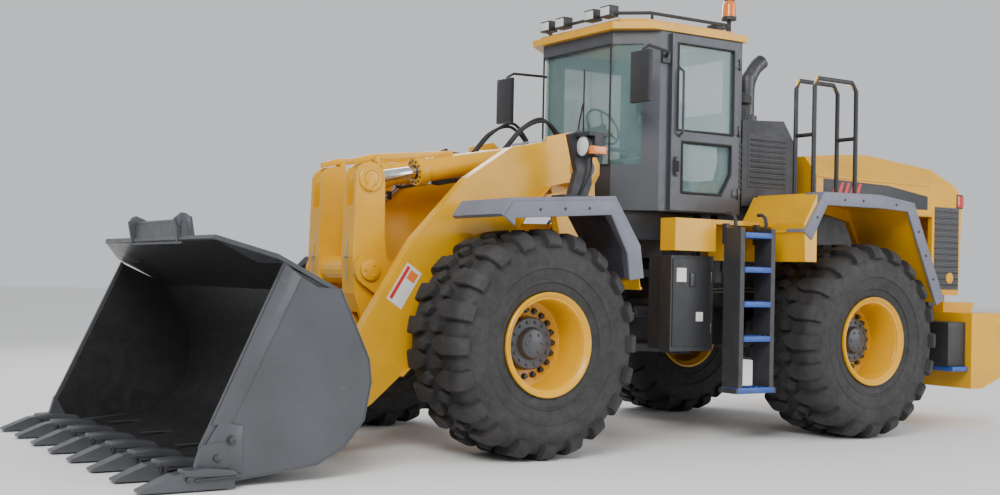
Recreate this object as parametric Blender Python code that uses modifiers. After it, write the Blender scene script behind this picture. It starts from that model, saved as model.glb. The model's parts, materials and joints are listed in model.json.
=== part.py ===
"""A wheel loader: an articulated machine with a bucket on a lift boom, modelled in metres with +Z up.

Every piece is built around the articulation pivot: X runs forward, Y to the left, and the wheels stand on
Z = 0. The empty named wheel_loader moves the whole so that the origin is the bottom centre of its box.
"""

from math import atan2, cos, hypot, pi, radians, sin, tan

import bmesh
import bpy
from mathutils import Matrix, Vector

# Driving dimensions
GAP = 0.0003
WHEELBASE = 3.70
TREAD = 2.44
TYRE_RADIUS = 0.90
TYRE_WIDTH = 0.75
TYRE_SIDES = 24
RIM_WIDTH = 0.66
RIM_SEAT_RADIUS = 0.3745
RIM_FLANGE_RADIUS = 0.4065
AXLE_HEIGHT = TYRE_RADIUS * cos(pi / TYRE_SIDES)
FRONT_AXLE_X = WHEELBASE / 2
REAR_AXLE_X = -WHEELBASE / 2
HALF_TREAD = TREAD / 2
BUCKET_HALF_WIDTH = 1.706
BUCKET_PLATE = 0.030
TOOTH_COUNT = 8
TOOTH_HALF_WIDTH = 0.062
TOOTH_HEIGHT = 0.135
CORNER_TOOTH_Y = BUCKET_HALF_WIDTH + 0.032
TOOTH_TIP_X = 5.148
TAIL_X = -4.27
STEERING_ANGLE = 38.0
CAB_HALF_WIDTH = 0.80
CAB_FLOOR_Z = 2.03
CAB_TOP_Z = 3.64
GLASS = 0.012
AXLE_SEAT = 0.28
RAIL_INNER_Y = 0.38
RAIL_OUTER_Y = 0.46
CAB_WALL = 0.05

# Linkage pivots, as (x, z)
BOOM_PIVOT = (0.88, 2.36)
BUCKET_PIVOT = (3.25, 0.40)
BELLCRANK_PIVOT = (2.82, 1.44)
LEVER_TOP_PIVOT = (2.80, 2.18)
LEVER_LOW_PIVOT = (2.66, 0.66)
BUCKET_TOP_PIVOT = (3.42, 0.90)
TILT_BASE_PIVOT = (1.05, 2.50)
LIFT_BASE_PIVOT = (0.80, 1.55)
LIFT_ROD_PIVOT = (2.10, 1.40)

# Steering cylinder pivots, as (x, y), and their height
STEER_BASE = (-0.58, 0.54)
STEER_TIP = (0.30, 0.30)
STEER_Z = 1.12

# Sideways places of what the linkage is made of
ARM_INNER_Y = 0.63
ARM_OUTER_Y = 0.73
LEVER_Y = 0.30
LEVER_HALF_WIDTH = 0.10
LINK_HALF_WIDTH = 0.05
TILT_EYE_HALF_WIDTH = 0.05
LIFT_Y = 0.485
PIN_INNER_Y = 0.56
PIN_OUTER_Y = 0.80
PIN_RADIUS = 0.06
PIN_SIDES = 8
HOLE_RADIUS = PIN_RADIUS / cos(pi / PIN_SIDES) + GAP
ROUND_SIDES = 12

LENGTH_CENTRE_X = (TOOTH_TIP_X + TAIL_X) / 2
SIDES = {"left": 1, "right": -1}

YELLOW = (0.90, 0.58, 0.03)
CHARCOAL = (0.10, 0.105, 0.12)
BAND_GREY = (0.28, 0.28, 0.33)
BUCKET_GREY = (0.11, 0.115, 0.125)
BLACK = (0.02, 0.02, 0.022)
RUBBER = (0.045, 0.043, 0.043)
CHROME = (0.75, 0.76, 0.78)
TINTED = (0.45, 0.62, 0.62)


# Scene, materials and placing


def clear_scene():
    """Removes whatever the scene holds."""
    for obj in list(bpy.data.objects):
        bpy.data.objects.remove(obj, do_unlink=True)


def new_collection(name):
    """A collection linked to the scene."""
    collection = bpy.data.collections.new(name)
    bpy.context.scene.collection.children.link(collection)
    return collection


def principled(name, colour, roughness, metallic, alpha=1.0):
    """A Principled material of one colour."""
    material = bpy.data.materials.new(name)
    material.use_nodes = True
    shader = material.node_tree.nodes["Principled BSDF"]
    shader.inputs["Base Color"].default_value = (*colour, 1.0)
    shader.inputs["Roughness"].default_value = roughness
    shader.inputs["Metallic"].default_value = metallic
    shader.inputs["Alpha"].default_value = alpha
    return material


def add_body(name, origin):
    """An empty on a moving body's joint axis. Its pieces are parented to it."""
    empty = bpy.data.objects.new(name, None)
    empty.empty_display_size = 0.2
    PARTS.objects.link(empty)
    empty.parent = ROOT
    empty.location = origin
    BODIES[name] = (empty, Vector(origin))
    return empty


def finish(name, mesh, body, colour, roughness=0.45, metallic=0.0, alpha=1.0):
    """Makes a mesh in machine coordinates the named piece of a body, with the body's joint as its origin."""
    empty, origin = BODIES[body]
    mesh.transform(Matrix.Translation(-origin))
    mesh.name = name
    obj = bpy.data.objects.new(name, mesh)
    PARTS.objects.link(obj)
    obj.parent = empty
    mesh.materials.clear()
    mesh.materials.append(principled(name, colour, roughness, metallic, alpha))
    mesh.shade_smooth()
    mesh.set_sharp_from_angle(angle=radians(35))
    return obj


# Basic solids, each a mesh in machine coordinates


def mesh_of(bm):
    """A mesh from a bmesh, with its faces pointing out."""
    bmesh.ops.recalc_face_normals(bm, faces=bm.faces)
    mesh = bpy.data.meshes.new("solid")
    bm.to_mesh(mesh)
    bm.free()
    return mesh


def block(x, y, z):
    """A box between pairs of limits."""
    bm = bmesh.new()
    size = Matrix.Diagonal((x[1] - x[0], y[1] - y[0], z[1] - z[0], 1.0))
    middle = Matrix.Translation(((x[0] + x[1]) / 2, (y[0] + y[1]) / 2, (z[0] + z[1]) / 2))
    bmesh.ops.create_cube(bm, size=1.0, matrix=middle @ size)
    return mesh_of(bm)


def evaluated_mesh(obj):
    """The mesh that an object's modifiers or curve settings make. The object is removed."""
    graph = bpy.context.evaluated_depsgraph_get()
    mesh = bpy.data.meshes.new_from_object(obj.evaluated_get(graph))
    mesh.transform(obj.matrix_world)
    bpy.data.objects.remove(obj, do_unlink=True)
    return mesh


def welded(mesh, distance=1e-5):
    """The mesh with its loose caps joined on and its faces pointing out."""
    bm = bmesh.new()
    bm.from_mesh(mesh)
    bmesh.ops.dissolve_degenerate(bm, dist=distance, edges=bm.edges)
    bmesh.ops.remove_doubles(bm, verts=bm.verts, dist=distance)
    bpy.data.meshes.remove(mesh)
    return mesh_of(bm)


AXES = {
    "x": Matrix(((0, 0, 1, 0), (1, 0, 0, 0), (0, 1, 0, 0), (0, 0, 0, 1))),
    "y": Matrix(((1, 0, 0, 0), (0, 0, -1, 0), (0, 1, 0, 0), (0, 0, 0, 1))),
    "z": Matrix.Identity(4),
}


def plate(outline, low, high, axis="y"):
    """A flat outline given thickness along an axis: (x, z) points for y, (y, z) for x and (x, y) for z."""
    curve = bpy.data.curves.new("outline", "CURVE")
    curve.dimensions = "2D"
    curve.fill_mode = "BOTH"
    curve.extrude = (high - low) / 2
    spline = curve.splines.new("POLY")
    spline.points.add(len(outline) - 1)
    for point, (u, v) in zip(spline.points, outline):
        point.co = (u, v, 0.0, 1.0)
    spline.use_cyclic_u = True
    obj = bpy.data.objects.new("outline", curve)
    HELPERS.objects.link(obj)
    middle = (low + high) / 2
    shift = {"x": (middle, 0, 0), "y": (0, middle, 0), "z": (0, 0, middle)}[axis]
    obj.matrix_world = Matrix.Translation(shift) @ AXES[axis]
    bpy.context.view_layer.update()
    return welded(evaluated_mesh(obj))


def rod(start, end, radius, sides=ROUND_SIDES, end_radius=None, phase=0.0):
    """A round bar, or a cone, between two points."""
    start, end = Vector(start), Vector(end)
    along = end - start
    turn = Vector((0, 0, 1)).rotation_difference(along).to_matrix().to_4x4() @ Matrix.Rotation(phase, 4, "Z")
    bm = bmesh.new()
    bmesh.ops.create_cone(
        bm,
        cap_ends=True,
        segments=sides,
        radius1=radius,
        radius2=radius if end_radius is None else end_radius,
        depth=along.length,
        matrix=Matrix.Translation((start + end) / 2) @ turn,
    )
    return mesh_of(bm)


def cross_rod(centre, low, high, radius, sides=ROUND_SIDES):
    """A round bar along Y at an (x, z) place."""
    return rod((centre[0], low, centre[1]), (centre[0], high, centre[1]), radius, sides)


def cross_pin(centre, low, high):
    """A pin along Y, whose corners point at the flats of the holes it turns in."""
    start, end = (centre[0], low, centre[1]), (centre[0], high, centre[1])
    return rod(start, end, PIN_RADIUS, PIN_SIDES, phase=pi / PIN_SIDES)


def cross_hole(centre, low, high):
    """The cutter of a hole that such a pin turns in."""
    return cross_rod(centre, low, high, HOLE_RADIUS, PIN_SIDES)


def tube(points, radius, resolution=2):
    """A bent bar through points, as a curve with a round bevel and filled caps."""
    curve = bpy.data.curves.new("tube", "CURVE")
    curve.dimensions = "3D"
    curve.bevel_depth = radius
    curve.bevel_resolution = resolution
    curve.use_fill_caps = True
    spline = curve.splines.new("POLY")
    spline.points.add(len(points) - 1)
    for point, place in zip(spline.points, points):
        point.co = (*place, 1.0)
    obj = bpy.data.objects.new("tube", curve)
    HELPERS.objects.link(obj)
    bpy.context.view_layer.update()
    return welded(evaluated_mesh(obj))


def turned(profile, centre, sides, axis="y", flip=1, phase=0.0):
    """A closed (radius, offset) outline, or one that ends on the axis, turned about an axis through centre."""
    mesh = bpy.data.meshes.new("profile")
    on_axis = profile[0][0] < 1e-6
    count = len(profile)
    edges = [(i, i + 1) for i in range(count - 1)]
    if not on_axis:
        edges.append((count - 1, 0))
    mesh.from_pydata([(r, 0.0, offset * flip) for r, offset in profile], edges, [])
    obj = bpy.data.objects.new("profile", mesh)
    HELPERS.objects.link(obj)
    screw = obj.modifiers.new("Screw", "SCREW")
    screw.steps = sides
    screw.render_steps = sides
    screw.use_merge_vertices = True
    screw.merge_threshold = 1e-5
    turn = {
        "y": Matrix.Rotation(-pi / 2, 4, "X"), "z": Matrix.Identity(4), "x": Matrix.Rotation(pi / 2, 4, "Y")
    }
    obj.matrix_world = Matrix.Translation(centre) @ turn[axis] @ Matrix.Rotation(phase, 4, "Z")
    bpy.context.view_layer.update()
    return welded(evaluated_mesh(obj))


def combined(pieces, cutters=()):
    """The union of pieces less the cutters, by exact Booleans."""
    objects = []
    for mesh in (*pieces, *cutters):
        obj = bpy.data.objects.new("piece", mesh)
        obj.hide_render = True
        obj.display_type = "WIRE"
        HELPERS.objects.link(obj)
        objects.append(obj)
    base, others = objects[0], objects[1:]
    for index, other in enumerate(others):
        boolean = base.modifiers.new(f"Boolean {index}", "BOOLEAN")
        boolean.operation = "UNION" if index < len(pieces) - 1 else "DIFFERENCE"
        boolean.solver = "EXACT"
        boolean.object = other
    bpy.context.view_layer.update()
    mesh = evaluated_mesh(base)
    for other in others:
        bpy.data.objects.remove(other, do_unlink=True)
    return welded(mesh)


def mirrored(mesh, keep=True):
    """The mesh reflected to the machine's other side. The original is kept unless told not to."""
    copy = mesh.copy() if keep else mesh
    copy.transform(Matrix.Scale(-1, 4, (0, 1, 0)))
    copy.flip_normals()
    return copy


def both_sides(meshes):
    """Meshes on the left side and their reflections on the right."""
    return [*meshes, *[mirrored(mesh) for mesh in meshes]]


# Outlines


def arc(centre, radius, start, end, steps):
    """Points on an arc, in degrees from +X toward the second axis."""
    points = []
    for step in range(steps + 1):
        angle = radians(start + (end - start) * step / steps)
        points.append((centre[0] + radius * cos(angle), centre[1] + radius * sin(angle)))
    return points


def strip(path, thickness):
    """The outline of a band: a path and the same path set off to its left by a thickness."""
    inner = []
    for index, point in enumerate(path):
        before = path[max(index - 1, 0)]
        after = path[min(index + 1, len(path) - 1)]
        first = atan2(point[1] - before[1], point[0] - before[0])
        last = atan2(after[1] - point[1], after[0] - point[0])
        if index == 0:
            first = last
        if index == len(path) - 1:
            last = first
        turn = (last - first + pi) % (2 * pi) - pi
        middle = first + turn / 2
        reach = thickness / cos(turn / 2)
        inner.append((point[0] - reach * sin(middle), point[1] + reach * cos(middle)))
    return [*path, *reversed(inner)]


def slab(start, end, half_width, low, high, axis="y"):
    """A straight bar of rectangular section along a line in the side view."""
    length = hypot(end[0] - start[0], end[1] - start[1])
    across = ((end[1] - start[1]) / length * half_width, -(end[0] - start[0]) / length * half_width)
    corners = [
        (start[0] + across[0], start[1] + across[1]),
        (end[0] + across[0], end[1] + across[1]),
        (end[0] - across[0], end[1] - across[1]),
        (start[0] - across[0], start[1] - across[1]),
    ]
    return plate(corners, low, high, axis)


def along(start, end, distance):
    """The (x, z) point at a distance from start toward end."""
    length = hypot(end[0] - start[0], end[1] - start[1])
    return tuple(s + (e - s) * distance / length for s, e in zip(start, end))


# Wheels and axles


def tyre_profile():
    """Half-section of the tyre as (radius, offset), from the bead over the tread to the other bead."""
    half = TYRE_WIDTH / 2
    bead = RIM_SEAT_RADIUS + GAP * 1.5
    side = [(0.90, 0.78), (0.862, 0.97), (0.70, 1.0), (0.50, 0.94)]
    outer = [(radius * TYRE_RADIUS / 0.90, half * share) for radius, share in side]
    foot = [(RIM_FLANGE_RADIUS + 0.004, RIM_WIDTH / 2 - GAP), (bead, RIM_WIDTH / 2 - GAP)]
    upper = [*outer, *foot]
    return [*upper, *[(radius, -offset) for radius, offset in reversed(upper)]]


def rim_profile():
    """The rim with its deep dish and hub, from the outer end of the hub round to its inner face."""
    seat = RIM_WIDTH / 2
    lip = seat + 0.030
    flange = RIM_FLANGE_RADIUS
    inner = RIM_SEAT_RADIUS - 0.030
    return [
        (0.0, 0.15),
        (0.12, 0.15),
        (0.20, 0.10),
        (0.20, 0.02),
        (inner - 0.02, 0.02),
        (inner, lip - 0.05),
        (flange - 0.02, lip),
        (flange, seat),
        (RIM_SEAT_RADIUS, seat),
        (RIM_SEAT_RADIUS, -seat),
        (flange, -seat),
        (flange, -lip),
        (inner, -lip),
        (inner, -0.02),
        (0.0, -0.02),
    ]


def build_wheels():
    """Four wheels, each a tyre on a rim, on its own body."""
    for end, x in (("front", FRONT_AXLE_X), ("rear", REAR_AXLE_X)):
        for side, sign in SIDES.items():
            body = f"{end}_wheel_{side}"
            centre = (x, sign * HALF_TREAD, AXLE_HEIGHT)
            add_body(body, centre)
            phase = pi / TYRE_SIDES
            tyre = turned(tyre_profile(), centre, TYRE_SIDES, flip=sign, phase=phase)
            finish(f"tyre_{end}_{side}", tyre, body, RUBBER, 0.85)
            rim = turned(rim_profile(), centre, TYRE_SIDES, flip=sign, phase=phase)
            finish(f"rim_{end}_{side}", rim, body, YELLOW, 0.4)


def axle_mesh(x):
    """A drive axle: the differential, tapered arms and the final drives that enter the rims."""
    end = HALF_TREAD - 0.02 - GAP
    half = [(0.22, end), (0.22, 0.76), (0.13, 0.66), (0.15, 0.36), (0.27, 0.22)]
    profile = [(0.0, end), *half, *[(radius, -offset) for radius, offset in reversed(half)], (0.0, -end)]
    housing = turned(profile, (x, 0, AXLE_HEIGHT), ROUND_SIDES)
    nose = rod((x - 0.42, 0, AXLE_HEIGHT), (x + 0.36, 0, AXLE_HEIGHT), 0.17, ROUND_SIDES)
    saddle = block((x - 0.13, x + 0.13), (-0.50, 0.50), (AXLE_HEIGHT, AXLE_HEIGHT + AXLE_SEAT))
    return combined([housing, nose, saddle])


# Rear frame


def build_rear_frame():
    """The rear frame: two long side rails, their cross members and the rear half of the articulation hitch."""
    rail_low = AXLE_HEIGHT + AXLE_SEAT + GAP
    rails = both_sides([block((-3.60, -0.62), (RAIL_INNER_Y, RAIL_OUTER_Y), (rail_low, 1.62))])
    cross = [
        block((-0.70, -0.56), (-0.40, 0.40), (0.72, 1.61)),
        block((-0.66, -0.52), (-0.62, 0.62), (STEER_Z + 0.06 + GAP, STEER_Z + 0.11)),
        block((-3.60, -3.46), (-0.46, 0.46), (0.62, 1.62)),
        block((-2.00, -1.70), (-0.46, 0.46), (rail_low, rail_low + 0.08)),
    ]
    ears = [plate(hitch_outline(-0.60), z, z + 0.07, "z") for z in (0.74, 1.44)]
    outriggers = both_sides(
        [
            block((-0.70, -0.58), (0.40, 0.92), (1.50, 1.60)),
            block((REAR_AXLE_X - 1.05, REAR_AXLE_X - 0.93), (0.40, 0.84), (1.50, 1.60)),
        ]
    )
    drawbar = block((-3.80, -3.50), (-0.20, 0.20), (0.62, 0.80))
    holes = [rod((0, 0, 0.60), (0, 0, 1.70), HOLE_RADIUS, PIN_SIDES)]
    mesh = combined([*rails, *cross, *ears, *outriggers, drawbar], holes)
    finish("rear_frame", mesh, "rear_frame_body", CHARCOAL, 0.5)


def hitch_outline(root_x):
    """An articulation ear seen from above: a tongue with a round end about the pivot."""
    turn = 0 if root_x < 0 else 180
    end = arc((0, 0), 0.15, -80 + turn, 80 + turn, 6)
    wide = 0.30 if root_x < 0 else -0.30
    return [(root_x, -wide), *end, (root_x, wide)]


def build_counterweight():
    """The cast counterweight behind the rear wheels, with slanted lower corners and a hitch notch."""
    outline = [
        (-3.50, 1.40),
        (-3.98, 1.40),
        (TAIL_X, 1.02),
        (TAIL_X, -1.02),
        (-3.98, -1.40),
        (-3.50, -1.40),
        (-3.50, -0.46 - GAP),
        (-3.60 - GAP, -0.46 - GAP),
        (-3.60 - GAP, 0.46 + GAP),
        (-3.50, 0.46 + GAP),
    ]
    body = plate(outline, 0.40, 1.15, "z")
    slope = plate([(-3.40, 0.30), (-4.40, 0.30), (-4.40, 0.66)], -1.5, 1.5)
    notch = block((-4.40, -3.55), (-0.24, 0.24), (0.30, 0.86))
    skirt = plate([(-3.62, 1.14), (-4.06, 1.14), (-4.13, 1.25), (-3.62, 1.25)], -0.98, 0.98)
    hinge = (HOOD_HINGE[0], HOOD_HINGE[2])
    lug = plate([(-4.01, 1.20), *arc(hinge, 0.08, 170, 10, 4), (-3.87, 1.20)], 0.66, 0.70)
    mesh = combined([body, skirt, *both_sides([lug, cross_pin(hinge, 0.68, 0.815)])], [slope, notch])
    finish("counterweight", mesh, "rear_frame_body", YELLOW, 0.4)


def build_engine():
    """The engine and transmission as one plain block between the rails."""
    engine = block((-3.30, -1.42), (-0.34, 0.34), (1.28, 2.10))
    gearbox = block((-1.44, -0.80), (-0.30, 0.30), (0.80, 1.70))
    reach = RAIL_INNER_Y - GAP
    mounts = [block((x, x + 0.16), (-reach, reach), (1.34, 1.50)) for x in (-3.05, -1.62)]
    finish("engine_block", combined([engine, gearbox, *mounts]), "rear_frame_body", CHARCOAL, 0.6)


SWING_REAR_X = 0.05


def swing_edge(x):
    """The (x, y) point inboard of which the front frame's side passes at full steering."""
    return (x, 0.86 + (x - SWING_REAR_X) * tan(radians(STEERING_ANGLE)))


def build_side_box(side, sign):
    """The box under the platform behind the front wheel, cut back where the front frame swings past."""
    outer, front = 1.15, 0.25
    outline = [swing_edge(SWING_REAR_X), swing_edge(front), (front, outer), (-0.24, outer), (-0.36, 1.03)]
    outline += [(-0.36, 0.64), (SWING_REAR_X, 0.64)]
    box = plate(outline, 0.80, 1.63, "z")
    hanger = block((-0.58, -0.30), (0.66, 0.90), (1.40, 1.60 - GAP))
    mesh = combined([box, hanger])
    mesh = mesh if sign > 0 else mirrored(mesh, keep=False)
    finish(f"side_box_{side}", mesh, "rear_frame_body", BLACK, 0.45)


FENDER_PATH = [
    (REAR_AXLE_X - 0.93, 1.28),
    (REAR_AXLE_X - 0.48, 2.18),
    (REAR_AXLE_X - 0.02, 2.23),
    (-1.12, 2.22),
    (-0.87, 1.86),
]


def build_platform(side, sign):
    """The walkway beside the cab, the rear fender with its deck, and the deck's handrail."""
    top, front, outer = 1.95, 0.27, 1.22
    inner = CAB_HALF_WIDTH + 0.03
    corner = [swing_edge(SWING_REAR_X), swing_edge(front), (front, outer)]
    walkway = [(-0.90, inner), (SWING_REAR_X, inner), *corner, (-0.90, outer)]
    step_box = [(-0.20, swing_edge(SWING_REAR_X)[1]), *corner, (-0.20, outer)]
    pieces = [
        plate(walkway, top - 0.04, top, "z"),
        plate(step_box, 1.67, top - 0.02, "z"),
        block((-0.72, -0.40), (0.84, 0.92), (1.60 + GAP, top - 0.02)),
        plate([(-1.04, 1.60 + GAP), (-0.90, 1.60 + GAP), (-0.88, 1.94), (-1.04, 2.20)], 0.84, 1.60),
    ]
    fender = plate(strip(list(reversed(FENDER_PATH)), 0.05), 0.86, 1.60)
    under = [
        (-1.10, 2.02), (REAR_AXLE_X - 0.05, 2.10), (REAR_AXLE_X - 0.45, 2.02), (REAR_AXLE_X - 0.81, 1.40)
    ]
    web = plate([*FENDER_PATH, *under], 0.82, 0.88)
    bracket = block((REAR_AXLE_X - 1.05, REAR_AXLE_X - 0.75), (0.845, 0.89), (1.40, 1.69))
    foot = block((REAR_AXLE_X - 1.03, REAR_AXLE_X - 0.95), (0.50, 0.86), (1.60 + GAP, 1.68))
    ahead, behind, hand_z = -1.34, -1.90, 3.30
    hoop = [(ahead, 2.19), (ahead, hand_z - 0.08), (ahead - 0.04, hand_z), (behind + 0.06, hand_z)]
    hoop += [(behind, hand_z - 0.08), (behind, 2.19)]
    rails = [tube([(x, y, z) for x, z in hoop], 0.018) for y in (1.06, 1.28)]
    rails += [rod((x, 1.06, 2.78), (x, 1.28, 2.78), 0.016, 8) for x in (ahead, behind)]
    mesh = combined([*pieces, fender, web, bracket, foot, *rails])
    mesh = mesh if sign > 0 else mirrored(mesh, keep=False)
    finish(f"platform_{side}", mesh, "rear_frame_body", YELLOW, 0.4)


def build_ladder(side, sign):
    """The access ladder: two rails, five treads and two grab bars, hung from the walkway's edge."""
    front, rear, inner, outer = -0.32, -0.64, 1.25, 1.45
    width, step = 0.05, 0.004
    places = (front, rear - width)
    rails = [block((x, x + width), (inner, outer), (0.45, 1.88)) for x in places]
    tread_y = (inner + step, outer - step)
    treads = [block((rear - 0.02, front + 0.02), tread_y, (z, z + 0.035)) for z in (0.90, 1.20, 1.50, 1.80)]
    treads.append(block((rear - 0.08, front + 0.08), (inner - step, outer + step), (0.445, 0.49)))
    hooks = [block((x + step, x + width - step), (1.22 + GAP, inner + 0.02), (1.74, 1.92)) for x in places]
    bend = [(1.36, 1.80), (1.36, 1.93), (1.345, 1.98), (1.31, 2.005), (1.26, 2.005)]
    grabs = [tube([(x + width / 2, y, z) for y, z in bend], 0.016) for x in places]
    mesh = combined([*rails, *treads, *hooks, *grabs])
    mesh = mesh if sign > 0 else mirrored(mesh, keep=False)
    finish(f"ladder_{side}", mesh, "rear_frame_body", CHARCOAL, 0.5)


def build_deck_cover():
    """The cover between the cab and the hood: a hollow box open below, with a sloping rear top."""
    outline = [(-0.92, 2.12), (-0.92, 2.92), (-1.46, 2.95), (-1.63, 2.72), (-1.65, 2.12)]
    shell = plate(outline, -0.80, 0.80)
    inner = [(-0.97, 2.00), (-0.97, 2.87), (-1.44, 2.90), (-1.59, 2.70), (-1.61, 2.00)]
    feet = both_sides(
        [
            block((-1.60, -0.95), (0.40, 0.46), (1.62 + GAP, 2.20)),
            block((-1.2, -1.1), (0.42, 0.78), (2.13, 2.20)),
        ],
    )
    mesh = combined([shell], [plate(inner, -0.75, 0.75)])
    mesh = combined([mesh, *feet])
    finish("deck_cover", mesh, "rear_frame_body", CHARCOAL, 0.45)


def build_exhaust():
    """The exhaust stack with its tip curved to the rear, on a foot in front of the hood."""
    x = -1.775
    path = [(x, 0, 2.10 + GAP), (x, 0, 3.38), (x - 0.03, 0, 3.50), (x - 0.10, 0, 3.60), (x - 0.20, 0, 3.68)]
    stack = tube(path, 0.075)
    can = rod((x, 0, 2.20), (x, 0, 3.10), 0.10, ROUND_SIDES)
    finish("exhaust_stack", combined([stack, can]), "rear_frame_body", BLACK, 0.5)


# Cab


def cab_outline(inset=0.0):
    """The cab seen from above: straight sides, a square back and angled front corners."""
    side = CAB_HALF_WIDTH - inset
    front, rear = 0.42 - inset, -0.90 + inset
    return [
        (rear, -side),
        (0.10, -side),
        (front, -0.52 + inset * 0.4),
        (front, 0.52 - inset * 0.4),
        (0.10, side),
        (rear, side),
    ]


WINDOW_LOW = 2.70
WINDOW_TOP = 3.52
DOOR = (-0.82, -0.04, 2.06, 3.60)


def build_cab_shell():
    """The hollow cab: floor, walls, pillars and window frames, open where the glass and the door go."""
    shell = plate(cab_outline(), CAB_FLOOR_Z, CAB_TOP_Z, "z")
    inside = plate(cab_outline(CAB_WALL), CAB_FLOOR_Z + 0.06, CAB_TOP_Z + 0.1, "z")
    front_low = 2.44
    windscreen = plate(
        [(0.16, -0.70), (0.90, -0.70), (0.90, 0.70), (0.16, 0.70)], front_low, WINDOW_TOP, "z"
    )
    door = block((DOOR[0], DOOR[1]), (0.70, 0.90), (DOOR[2], DOOR[3]))
    side_window = block((-0.80, -0.02), (-0.90, -0.70), (WINDOW_LOW - 0.2, WINDOW_TOP))
    rear_window = block((-1.0, -0.80), (-0.60, 0.60), (WINDOW_LOW + 0.3, WINDOW_TOP))
    mesh = combined([shell], [inside, windscreen, door, side_window, rear_window])
    feet = both_sides([block((-0.86, -0.74), (0.40, 0.46), (1.62 + GAP, 2.10))])
    nose = [
        block((-0.30, 0.20), (-0.46, 0.46), (1.78, 2.06)),
        block((-0.66, -0.28), (-0.44, 0.44), (1.62 + GAP, 2.06)),
    ]
    mesh = combined([mesh, *feet, *nose])
    finish("cab_shell", mesh, "rear_frame_body", CHARCOAL, 0.45)


def build_cab_roof():
    """The roof cap on the cab, a shallow pan with chamfered front corners."""
    low = plate(grown_roof(0.03), CAB_TOP_Z + GAP, CAB_TOP_Z + 0.06, "z")
    high = plate(grown_roof(-0.06), CAB_TOP_Z + 0.05, CAB_TOP_Z + 0.10, "z")
    finish("cab_roof", combined([low, high]), "rear_frame_body", YELLOW, 0.4)


def grown_roof(growth):
    """The roof seen from above, larger than the cab's outline by a growth."""
    side = CAB_HALF_WIDTH + growth
    return [
        (-0.90 - growth, -side),
        (0.20, -side),
        (0.46 + growth, -0.60),
        (0.46 + growth, 0.60),
        (0.20, side),
        (-0.90 - growth, side),
    ]


def build_roof_rail():
    """The rail round the roof on short posts, with the beacon on its own post at the rear left."""
    z = CAB_TOP_Z + 0.16
    seat = CAB_TOP_Z + 0.10 + GAP
    loop = [
        (-0.86, 0.60),
        (-0.80, 0.72),
        (0.16, 0.72),
        (0.40, 0.52),
        (0.40, -0.52),
        (0.16, -0.72),
        (-0.80, -0.72),
        (-0.86, -0.60),
    ]
    pieces = [tube([(x, y, z) for x, y in loop], 0.016)]
    for x, y in ((-0.78, 0.72), (0.14, 0.72), (0.14, -0.72), (-0.78, -0.72)):
        pieces.append(rod((x, y, seat), (x, y, z), 0.014, 8))
    pieces.append(rod((-0.84, 0.68, seat), (-0.84, 0.68, CAB_TOP_Z + 0.24), 0.02, 8))
    pieces.append(rod((-0.84, 0.68, CAB_TOP_Z + 0.22), (-0.84, 0.68, CAB_TOP_Z + 0.25), 0.07, 12))
    pieces.append(rod((-0.84, 0.68, CAB_TOP_Z + 0.24), (-0.84, 0.68, CAB_TOP_Z + 0.42), 0.062, 12, 0.05))
    for y in (-0.45, -0.22, 0.22, 0.45):
        pieces.append(block((0.36, 0.46), (y - 0.07, y + 0.07), (z - 0.03, z + 0.07)))
    finish("roof_rail", combined(pieces), "rear_frame_body", BLACK, 0.5)


def build_cab_glass():
    """The windscreen with its angled corner panes, and the right and rear windows, each set in its opening."""
    outline = [
        (0.135, -0.762),
        (0.39, -0.51),
        (0.39, 0.51),
        (0.135, 0.762),
        (0.125, 0.755),
        (0.378, 0.505),
        (0.378, -0.505),
        (0.125, -0.755),
    ]
    mesh = plate(outline, 2.44 + GAP, WINDOW_TOP - GAP, "z")
    keep = block((0.16 + GAP, 0.60), (-0.70 + GAP, 0.70 - GAP), (2.0, 4.0))
    mesh = intersected(mesh, keep)
    finish("windscreen", mesh, "rear_frame_body", TINTED, 0.05, 0.0, 0.35)
    side = block(
        (-0.80 + GAP, -0.02 - GAP), (-CAB_HALF_WIDTH + 0.01, -CAB_HALF_WIDTH + 0.01 + GLASS), (
            WINDOW_LOW - 0.2 + GAP, WINDOW_TOP - GAP
        )
    )
    finish("right_window", side, "rear_frame_body", TINTED, 0.05, 0.0, 0.35)
    rear = block(
        (-0.885, -0.885 + GLASS), (-0.60 + GAP, 0.60 - GAP), (WINDOW_LOW + 0.3 + GAP, WINDOW_TOP - GAP)
    )
    finish("rear_window", rear, "rear_frame_body", TINTED, 0.05, 0.0, 0.35)


def intersected(mesh, other):
    """What two solids share."""
    first = bpy.data.objects.new("piece", mesh)
    second = bpy.data.objects.new("piece", other)
    for obj in (first, second):
        obj.hide_render = True
        HELPERS.objects.link(obj)
    boolean = first.modifiers.new("Boolean", "BOOLEAN")
    boolean.operation = "INTERSECT"
    boolean.solver = "EXACT"
    boolean.object = second
    bpy.context.view_layer.update()
    result = evaluated_mesh(first)
    bpy.data.objects.remove(second, do_unlink=True)
    return welded(result)


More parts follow.
